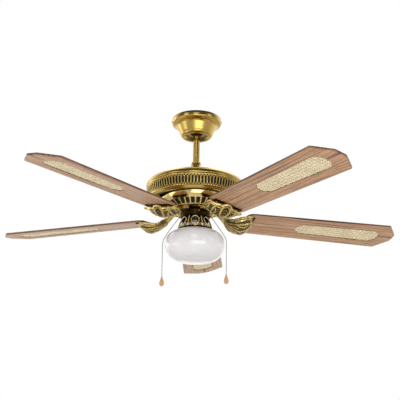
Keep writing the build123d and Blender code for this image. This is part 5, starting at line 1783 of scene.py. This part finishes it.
@dataclass
class LightFitter:
    """Cast fitter: pierced bell with framed openings, leaf feet and a beaded rim.

    Attributes:
        shop: Shared tools.
        openings: Number of openings.
        steps: Points round one opening.
        bands: Rings of faces between an opening and its neighbours.
    """

    shop: Shop
    openings: int = 7
    steps: int = 112
    bands: int = 16

    def radius_at(self, height: float) -> float:
        """Outer radius of the bell.

        Args:
            height: Height in millimetres.

        Returns:
            Radius in millimetres.
        """
        flare = arc((41.0, -328.0), (45.5, -342.0), (51.0, -356.0), 24)
        heights = [p[1] for p in reversed(flare)]
        radii = [p[0] for p in reversed(flare)]
        return float(np.interp(height, heights, radii)) if height > -356.0 else 51.6

    def sector(self) -> bpy.types.Mesh:
        """Make one sector of the bell about its opening, in place at angle 0.

        Returns:
            The sector's mesh with its relief UV map.
        """
        top, low, half = -328.6, -368.0, math.pi / self.openings
        middle = -345.6
        inner, outer = [], []
        for k in range(self.steps):
            angle = math.tau * k / self.steps
            c, s = math.cos(angle), math.sin(angle)
            shape = 10.8 * (1.0 - 0.12 * s) * (1.0 - 0.16 * (1.0 - abs(s)) ** 2 * (s < 0))
            inner.append((shape * c, middle + 11.4 * s - (1.3 * (1.0 - abs(c)) if s < 0 else 0.0)))
            reach = 1.0 / max(abs(c), abs(s))
            outer.append((reach * c, reach * s))
        work = bmesh.new()
        skins: list[list[list[bmesh.types.BMVert]]] = [[], []]
        shades: dict[bmesh.types.BMVert, float] = {}
        for band in range(self.bands + 1):
            t = (band / self.bands) ** 1.25
            fronts, backs = [], []
            for (ix, iy), (ox, oy) in zip(inner, outer):
                height = iy + ((top if oy > 0 else low) * abs(oy) + middle * (1 - abs(oy)) - iy) * t
                bell = self.radius_at(height)
                arc_half = half * bell
                across = ix + (ox * arc_half - ix) * t
                away = math.hypot(across - ix, height - iy)
                frame = math.exp(-((away - 2.0) / 1.5) ** 2)
                post = math.exp(-((arc_half - abs(across)) / 1.6) ** 2)
                swirl = 0.5 + 0.5 * math.sin(away * 1.15 + 2.2 * abs(across) / 8.0)
                foot = 0.65 * swirl * min(1.0, max(0.0, (-352.0 - height) / 6.0))
                level = max(frame, 0.85 * post, foot)
                angle = across / bell
                raised = bell - 0.4 + 2.2 * (level - 0.25)
                for row, reach in ((fronts, raised), (backs, bell - 2.2)):
                    vert = work.verts.new((reach * math.cos(angle) * MM,
                                           reach * math.sin(angle) * MM, height * MM))
                    # Painted shade: the inner skin takes the recess colour all over, for the shade
                    # inside the bell.
                    shades[vert] = level if row is fronts else 0.1
                    row.append(vert)
            skins[0].append(fronts)
            skins[1].append(backs)
        front, back = skins
        for rings in (front, back, [front[0], back[0]], [front[-1], back[-1]]):
            stitch(work, rings)
        return finished(work, "fitter_sector", shades)

    def build(self) -> None:
        """Cast the bell, its crown and rim, and set the beads and thumb screws."""
        brass = self.shop.finish["pale_brass"]
        bell = self.shop.tools.around("fitter_bell", self.sector(), self.openings, -90.0, brass,
                                      50.0)
        self.shop.ready(bell, Body.SUSPENSION, "fitter_brass", "light_fitter")
        cap = [(6.6, -328.0), (40.4, -328.0), (41.8, -328.6), (42.2, -329.6), (41.4, -330.6),
               (39.0, -330.8), (6.6, -330.4)]
        crown = lathe("fitter_crown", cap, brass, 96)
        rim = [(52.4, -364.8), (53.4, -366.0), (53.6, -368.0), (53.0, -369.6), (52.0, -370.0),
               (50.0, -370.0), (49.6, -369.0), (49.8, -364.6)]
        hoop = lathe("fitter_rim", rim, brass, 128)
        work = bmesh.new()
        bmesh.ops.create_uvsphere(work, u_segments=10, v_segments=7, radius=1.9 * MM)
        work.transform(Matrix.Translation((53.0 * MM, 0.0, -367.2 * MM)))
        bead = bpy.data.meshes.new("rim_bead")
        work.to_mesh(bead)
        work.free()
        beads = self.shop.tools.around("fitter_beads", bead, 72, 0.0, brass)
        for piece in (crown, hoop, beads):
            self.shop.ready(piece, Body.SUSPENSION, "fitter_brass")
        places = [turn(30.0 + 120.0 * k) @ Matrix.Translation((53.6 * MM, 0, -366.05 * MM))
                  @ Matrix.Rotation(math.pi / 2, 4, "Y") for k in range(3)]
        screws = self.shop.tools.at("globe_thumb_screws", thumb_screw(), places,
                                    self.shop.finish["screw_brass"], 25.0)
        self.shop.ready(screws, Body.SUSPENSION, "screw_brass", "globe_screws")


def thumb_screw() -> bpy.types.Mesh:
    """Knurled thumb screw, head up on the Z axis and shank below.

    Returns:
        The screw's mesh.
    """
    work = bmesh.new()
    sides = 36
    rings = []
    for radius, height, knurl in ((1.4, -6.0, 0.0), (1.4, 0.0, 0.0), (3.0, 0.1, 0.0),
                                  (3.3, 0.6, 0.3), (3.3, 3.4, 0.3), (3.0, 4.0, 0.0),
                                  (1.2, 4.3, 0.0)):
        ring = []
        for k in range(sides):
            reach, angle = (radius - (k % 2) * knurl) * MM, math.tau * k / sides
            ring.append(work.verts.new((reach * math.cos(angle), reach * math.sin(angle),
                                        height * MM)))
        rings.append(ring)
    stitch(work, rings)
    work.faces.new(list(reversed(rings[0])))
    work.faces.new(rings[-1])
    return finished(work, "thumb_screw")


@dataclass
class OpalGlobe:
    """Squat opal glass globe."""

    shop: Shop

    def build(self) -> None:
        """Blow the globe as one closed skin."""
        wall = 3.0
        outer = [(47.6, -360.6), (48.5, -361.4), (48.5, -363.2), (47.4, -364.2), (45.6, -364.8),
                 (45.0, -366.0), (45.0, -371.2)]
        outer += arc((45.0, -372.0), (81.7, -385.9), (92.0, -413.0), 36)[1:]
        outer += arc((92.0, -413.0), (81.0, -445.2), (46.0, -462.0), 36)[1:]
        outer += [(44.2, -462.0), (42.0, -462.5), (28.0, -463.9), (14.0, -464.8), (0.0, -465.0)]
        inner = [(0.0, -465.0 + wall), (28.0, -463.9 + wall), (46.0, -462.0 + wall)]
        inner += arc((46.0, -459.0), (78.6, -442.8), (89.0, -413.0), 24)[1:]
        inner += arc((89.0, -413.0), (79.6, -388.3), (42.0, -375.0), 24)[1:]
        inner += [(42.0, -361.4), (43.0, -360.6)]
        globe = lathe("opal_globe", outer + inner, self.shop.finish["opal_glass"])
        self.shop.ready(globe, Body.SUSPENSION, "opal_glass", "glass_globe")


@dataclass
class PullChain:
    """Bead chain on a spline, ending in a turned wooden drop.

    Attributes:
        shop: Shared tools.
        name: Fan or light.
        angle: Its direction about the fan's axis in degrees.
        end: Height of its lower end in millimetres.
        body: The body that its drop rides on.
        follow: Length above the lower end meant to move fully with the drop, in millimetres. Its
        point is worked out but not used, so the chain does not follow the drop.
    """

    shop: Shop
    name: str
    angle: float
    end: float
    body: Body
    follow: float = 6.0

    def line(self) -> list[Vector]:
        """Follow the chain's spline.

        Returns:
            Points along the spline in metres.
        """
        heading = math.radians(self.angle)
        route = [*CHAIN_ROUTE, (CHAIN_OFFSET, self.end)]
        curve = bpy.data.curves.new(f"{self.name}_chain_line", "CURVE")
        curve.dimensions = "3D"
        curve.resolution_u = 16
        spline = curve.splines.new("NURBS")
        spline.points.add(len(route) - 1)
        for point, (radius, height) in zip(spline.points, route):
            point.co = (radius * math.cos(heading) * MM, radius * math.sin(heading) * MM,
                        height * MM, 1.0)
        spline.order_u = 3
        spline.use_endpoint_u = True
        holder = bpy.data.objects.new(curve.name, curve)
        bpy.context.scene.collection.objects.link(holder)
        graph = bpy.context.evaluated_depsgraph_get()
        mesh = bpy.data.meshes.new_from_object(holder.evaluated_get(graph))
        points = [vert.co.copy() for vert in mesh.vertices]
        bpy.data.objects.remove(holder)
        return points

    def drop(self) -> bpy.types.Object:
        """Turn the wooden drop with its brass ferrule.

        Returns:
            The drop.
        """
        top = self.end
        profile = [(0.0, top + 0.2), (1.7, top - 0.1), (2.5, top - 1.0), (2.6, top - 3.4),
                   (2.0, top - 4.0), (2.1, top - 4.6), (3.3, top - 6.6), (4.6, top - 10.0),
                   (5.9, top - 14.2), (6.9, top - 18.0), (7.3, top - 21.0)]
        profile += arc((7.3, top - 21.0), (5.6, top - 26.6), (0.0, top - 30.0), 12)[1:]
        wood = self.shop.finish["drop_maple"]
        made = lathe(f"{self.name}_drop_turned", profile, wood, 40, closed=False)
        heading = math.radians(self.angle)
        made.data.transform(Matrix.Translation((CHAIN_OFFSET * MM * math.cos(heading),
                                                CHAIN_OFFSET * MM * math.sin(heading), 0.0)))
        return self.shop.ready(made, self.body, "drop_wood", f"{self.name}_drop")

    def build(self) -> None:
        """String the beads on the line and hang the drop."""
        points = self.line()
        carrier = bpy.data.meshes.new("chain_line")
        carrier.from_pydata(points, [(k, k + 1) for k in range(len(points) - 1)], [])
        chain = self.shop.tools.run(f"{self.name}_bead_chain", carrier, self.shop.tools.beads,
                                    {"Bead Pitch": 4.4 * MM, "Bead Radius": CHAIN_DIAMETER / 2 * MM,
                                     "Wire Radius": 0.45 * MM,
                                     "Finish": self.shop.finish["chain_nickel"]}, 60.0)
        still = points[0].copy()
        still.z = CHAIN_ROUTE[-1][1] * MM
        moving = still.copy()
        moving.z = (self.end + self.follow) * MM
        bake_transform(chain)
        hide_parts(f"{self.name}_chain")
        drop = self.drop()


# ------------------------------------------------------------------ studio
# Each lamp: its name, the angle to the right of the camera's side and the height above the aim in
# degrees, the distance in metres, the width and height in metres and the radiance. The strips are
# mirrored in the brass as upright highlights. The two low lamps light the undersides of the blades,
# the two windows are small, bright and level with the fan, and the top lamp lights the tops from
# behind.
LAMPS = (
    ("front_strip", -3.0, 22.0, 3.3, (0.95, 1.9), 1.75),
    ("left_strip", -52.0, 20.0, 3.1, (0.8, 2.2), 1.7),
    ("right_strip", 62.0, 20.0, 3.1, (0.7, 2.0), 1.5),
    ("side_strip", -122.0, 14.0, 3.0, (0.8, 2.0), 1.6),
    ("low_softbox", 14.0, -23.0, 3.0, (2.7, 1.2), 2.4),
    ("low_strip", -78.0, -18.0, 2.8, (1.0, 1.2), 1.6),
    ("left_window", -36.0, 2.0, 3.0, (0.32, 0.5), 4.5),
    ("right_window", 34.0, 2.0, 3.0, (0.32, 0.5), 4.5),
    ("top_softbox", 170.0, 65.0, 2.2, (2.2, 1.5), 1.2),
)
# How the studio that polished surfaces mirror changes with direction: an axis, the range of
# direction along it and the values at both ends of that range.
STUDIO_FADES = (("Y", (-0.1, 0.5), (0.0, 1.0)), ("Z", (-0.25, 0.30), (0.74, 0.10)))


@dataclass
class Studio:
    """Camera, soft lamps, floor and surroundings.

    Attributes:
        place: Camera position in metres.
        pitch: Upward tilt in degrees.
        yaw: Turn to the right in degrees.
        roll: Roll in degrees.
        lens: Focal length in millimetres on a 36 mm sensor.
        fill: Strength of the world for rays that neither leave the camera nor are mirrored.
        rear: Strength of what polished surfaces mirror from behind the fan.
        floor_half: Half width of the floor in metres.
        floor_height: Height of the floor in metres.
    """

    place: Spot = (0.0, -2.6394, -1.1741)
    pitch: float = 18.93
    yaw: float = 0.30
    roll: float = -0.80
    lens: float = 81.5
    fill: float = 0.90
    rear: float = 1.25
    floor_half: float = 9.0
    floor_height: float = -2.6

    def camera(self) -> None:
        """Set up the camera, looking up at the fan."""
        data = bpy.data.cameras.new("camera")
        data.lens = self.lens
        data.sensor_width = 36.0
        data.clip_end = 60.0
        camera = bpy.data.objects.new("camera", data)
        tilt, swing, roll = (math.radians(a) for a in (self.pitch, self.yaw, self.roll))
        ahead = Vector((math.cos(tilt) * math.sin(swing), math.cos(tilt) * math.cos(swing),
                        math.sin(tilt)))
        level = Vector((math.cos(swing), -math.sin(swing), 0.0))
        upright = Vector((-math.sin(tilt) * math.sin(swing), -math.sin(tilt) * math.cos(swing),
                          math.cos(tilt)))
        right = math.cos(roll) * level - math.sin(roll) * upright
        up = math.sin(roll) * level + math.cos(roll) * upright
        frame = Matrix((right, up, -ahead)).transposed().to_4x4()
        camera.matrix_world = Matrix.Translation(self.place) @ frame
        bpy.context.scene.collection.objects.link(camera)
        bpy.context.scene.camera = camera

    def softbox(self, name: str, place: Spot, aim: Spot, size: Point, glow: float) -> None:
        """Add one rectangular white softbox.

        Args:
            name: Lamp name.
            place: Its centre in metres.
            aim: What it faces.
            size: Width and height in metres.
            glow: Radiance of its face.
        """
        data = bpy.data.lights.new(name, "AREA")
        data.shape = "RECTANGLE"
        data.size, data.size_y = size
        data.energy = glow * size[0] * size[1] * math.pi
        lamp = bpy.data.objects.new(name, data)
        heading = Vector(aim) - Vector(place)
        lamp.matrix_world = (Matrix.Translation(place)
                             @ heading.to_track_quat("-Z", "Y").to_matrix().to_4x4())
        lamp.visible_camera = False
        bpy.context.scene.collection.objects.link(lamp)

    def surroundings(self) -> None:
        """Make the world: white to the camera, a plain grey studio to everything else."""
        world = bpy.data.worlds.new("studio")
        world.use_nodes = True
        tree = world.node_tree
        tree.nodes.clear()
        output = tree.nodes.new("ShaderNodeOutputWorld")
        path = tree.nodes.new("ShaderNodeLightPath")
        where = tree.nodes.new("ShaderNodeTexCoord")
        split = tree.nodes.new("ShaderNodeSeparateXYZ")
        tree.links.new(where.outputs["Generated"], split.inputs[0])
        ways = []
        for axis, (near, far), (low, high) in STUDIO_FADES:
            node = tree.nodes.new("ShaderNodeMapRange")
            ends = {"From Min": near, "From Max": far, "To Min": low, "To Max": high}
            for key, value in ends.items():
                node.inputs[key].default_value = value
            tree.links.new(split.outputs[axis], node.inputs["Value"])
            ways.append(node.outputs[0])
        behind = tree.nodes.new("ShaderNodeMix")
        behind.inputs[3].default_value = self.rear
        tree.links.new(ways[0], behind.inputs[0])
        tree.links.new(ways[1], behind.inputs[2])
        studio = tree.nodes.new("ShaderNodeBackground")
        soft = tree.nodes.new("ShaderNodeBackground")
        soft.inputs["Color"].default_value = srgb("#FFFFFF")
        soft.inputs["Strength"].default_value = self.fill
        tree.links.new(behind.outputs[0], studio.inputs["Strength"])
        studio.inputs["Color"].default_value = srgb("#FFFDF6")
        white = tree.nodes.new("ShaderNodeBackground")
        white.inputs["Color"].default_value = srgb("#FFFFFF")
        white.inputs["Strength"].default_value = 1.0
        gloss = tree.nodes.new("ShaderNodeMixShader")
        tree.links.new(path.outputs["Is Glossy Ray"], gloss.inputs[0])
        tree.links.new(soft.outputs[0], gloss.inputs[1])
        tree.links.new(studio.outputs[0], gloss.inputs[2])
        seen = tree.nodes.new("ShaderNodeMixShader")
        tree.links.new(path.outputs["Is Camera Ray"], seen.inputs[0])
        tree.links.new(gloss.outputs[0], seen.inputs[1])
        tree.links.new(white.outputs[0], seen.inputs[2])
        tree.links.new(seen.outputs[0], output.inputs["Surface"])
        bpy.context.scene.world = world

    def floor(self) -> None:
        """Lay the plain pale floor far below the fan."""
        mesh = bpy.data.meshes.new("floor")
        half, depth = self.floor_half, self.floor_height
        mesh.from_pydata([(-half, -half, depth), (half, -half, depth), (half, half, depth),
                          (-half, half, depth)], [], [(0, 1, 2, 3)])
        s = Shader("painted_floor")
        fine = s.noise(s.place(), 4.0, 3.0)
        shade = s.mix(fine, srgb("#E4E2DE"), srgb("#DAD8D3"))
        material = s.surface({"Roughness": 0.7}, Base_Color=shade)
        piece = new_object("floor", mesh, material)

    def build(self) -> None:
        """Set everything up."""
        self.camera()
        bpy.context.scene.view_settings.view_transform = "Standard"
        self.surroundings()
        self.floor()
        aim = (0.0, 0.0, -0.25)
        for name, turned, height, away, size, glow in LAMPS:
            side, lift = math.radians(turned), math.radians(height)
            level = away * math.cos(lift)
            place = (level * math.sin(side), -level * math.cos(side),
                     aim[2] + away * math.sin(lift))
            self.softbox(name, place, aim, size, glow)


def main() -> None:
    """Build the dressed fan around its CAD frame."""
    logging.basicConfig(level=logging.INFO, format="%(name)s: %(message)s")
    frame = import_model()
    Studio().build()
    shop = Shop(frame, {finish.name: finish.build() for finish in FINISHES}, Workshop())
    PullChain(shop, "fan", FAN_CHAIN_ANGLE, FAN_CHAIN_END, Body.FAN_PULL).build()
    PullChain(shop, "light", LIGHT_CHAIN_ANGLE, LIGHT_CHAIN_END, Body.LIGHT_PULL).build()
    CadParts(shop).build()
    for assembly in (Canopy, Downrod, Housing, RotorDrum, Blades, BladeIrons, LightFitter,
                     OpalGlobe):
        assembly(shop).build()
        log.info("%s done", assembly.__name__)


if __name__ == "__main__":
    main()
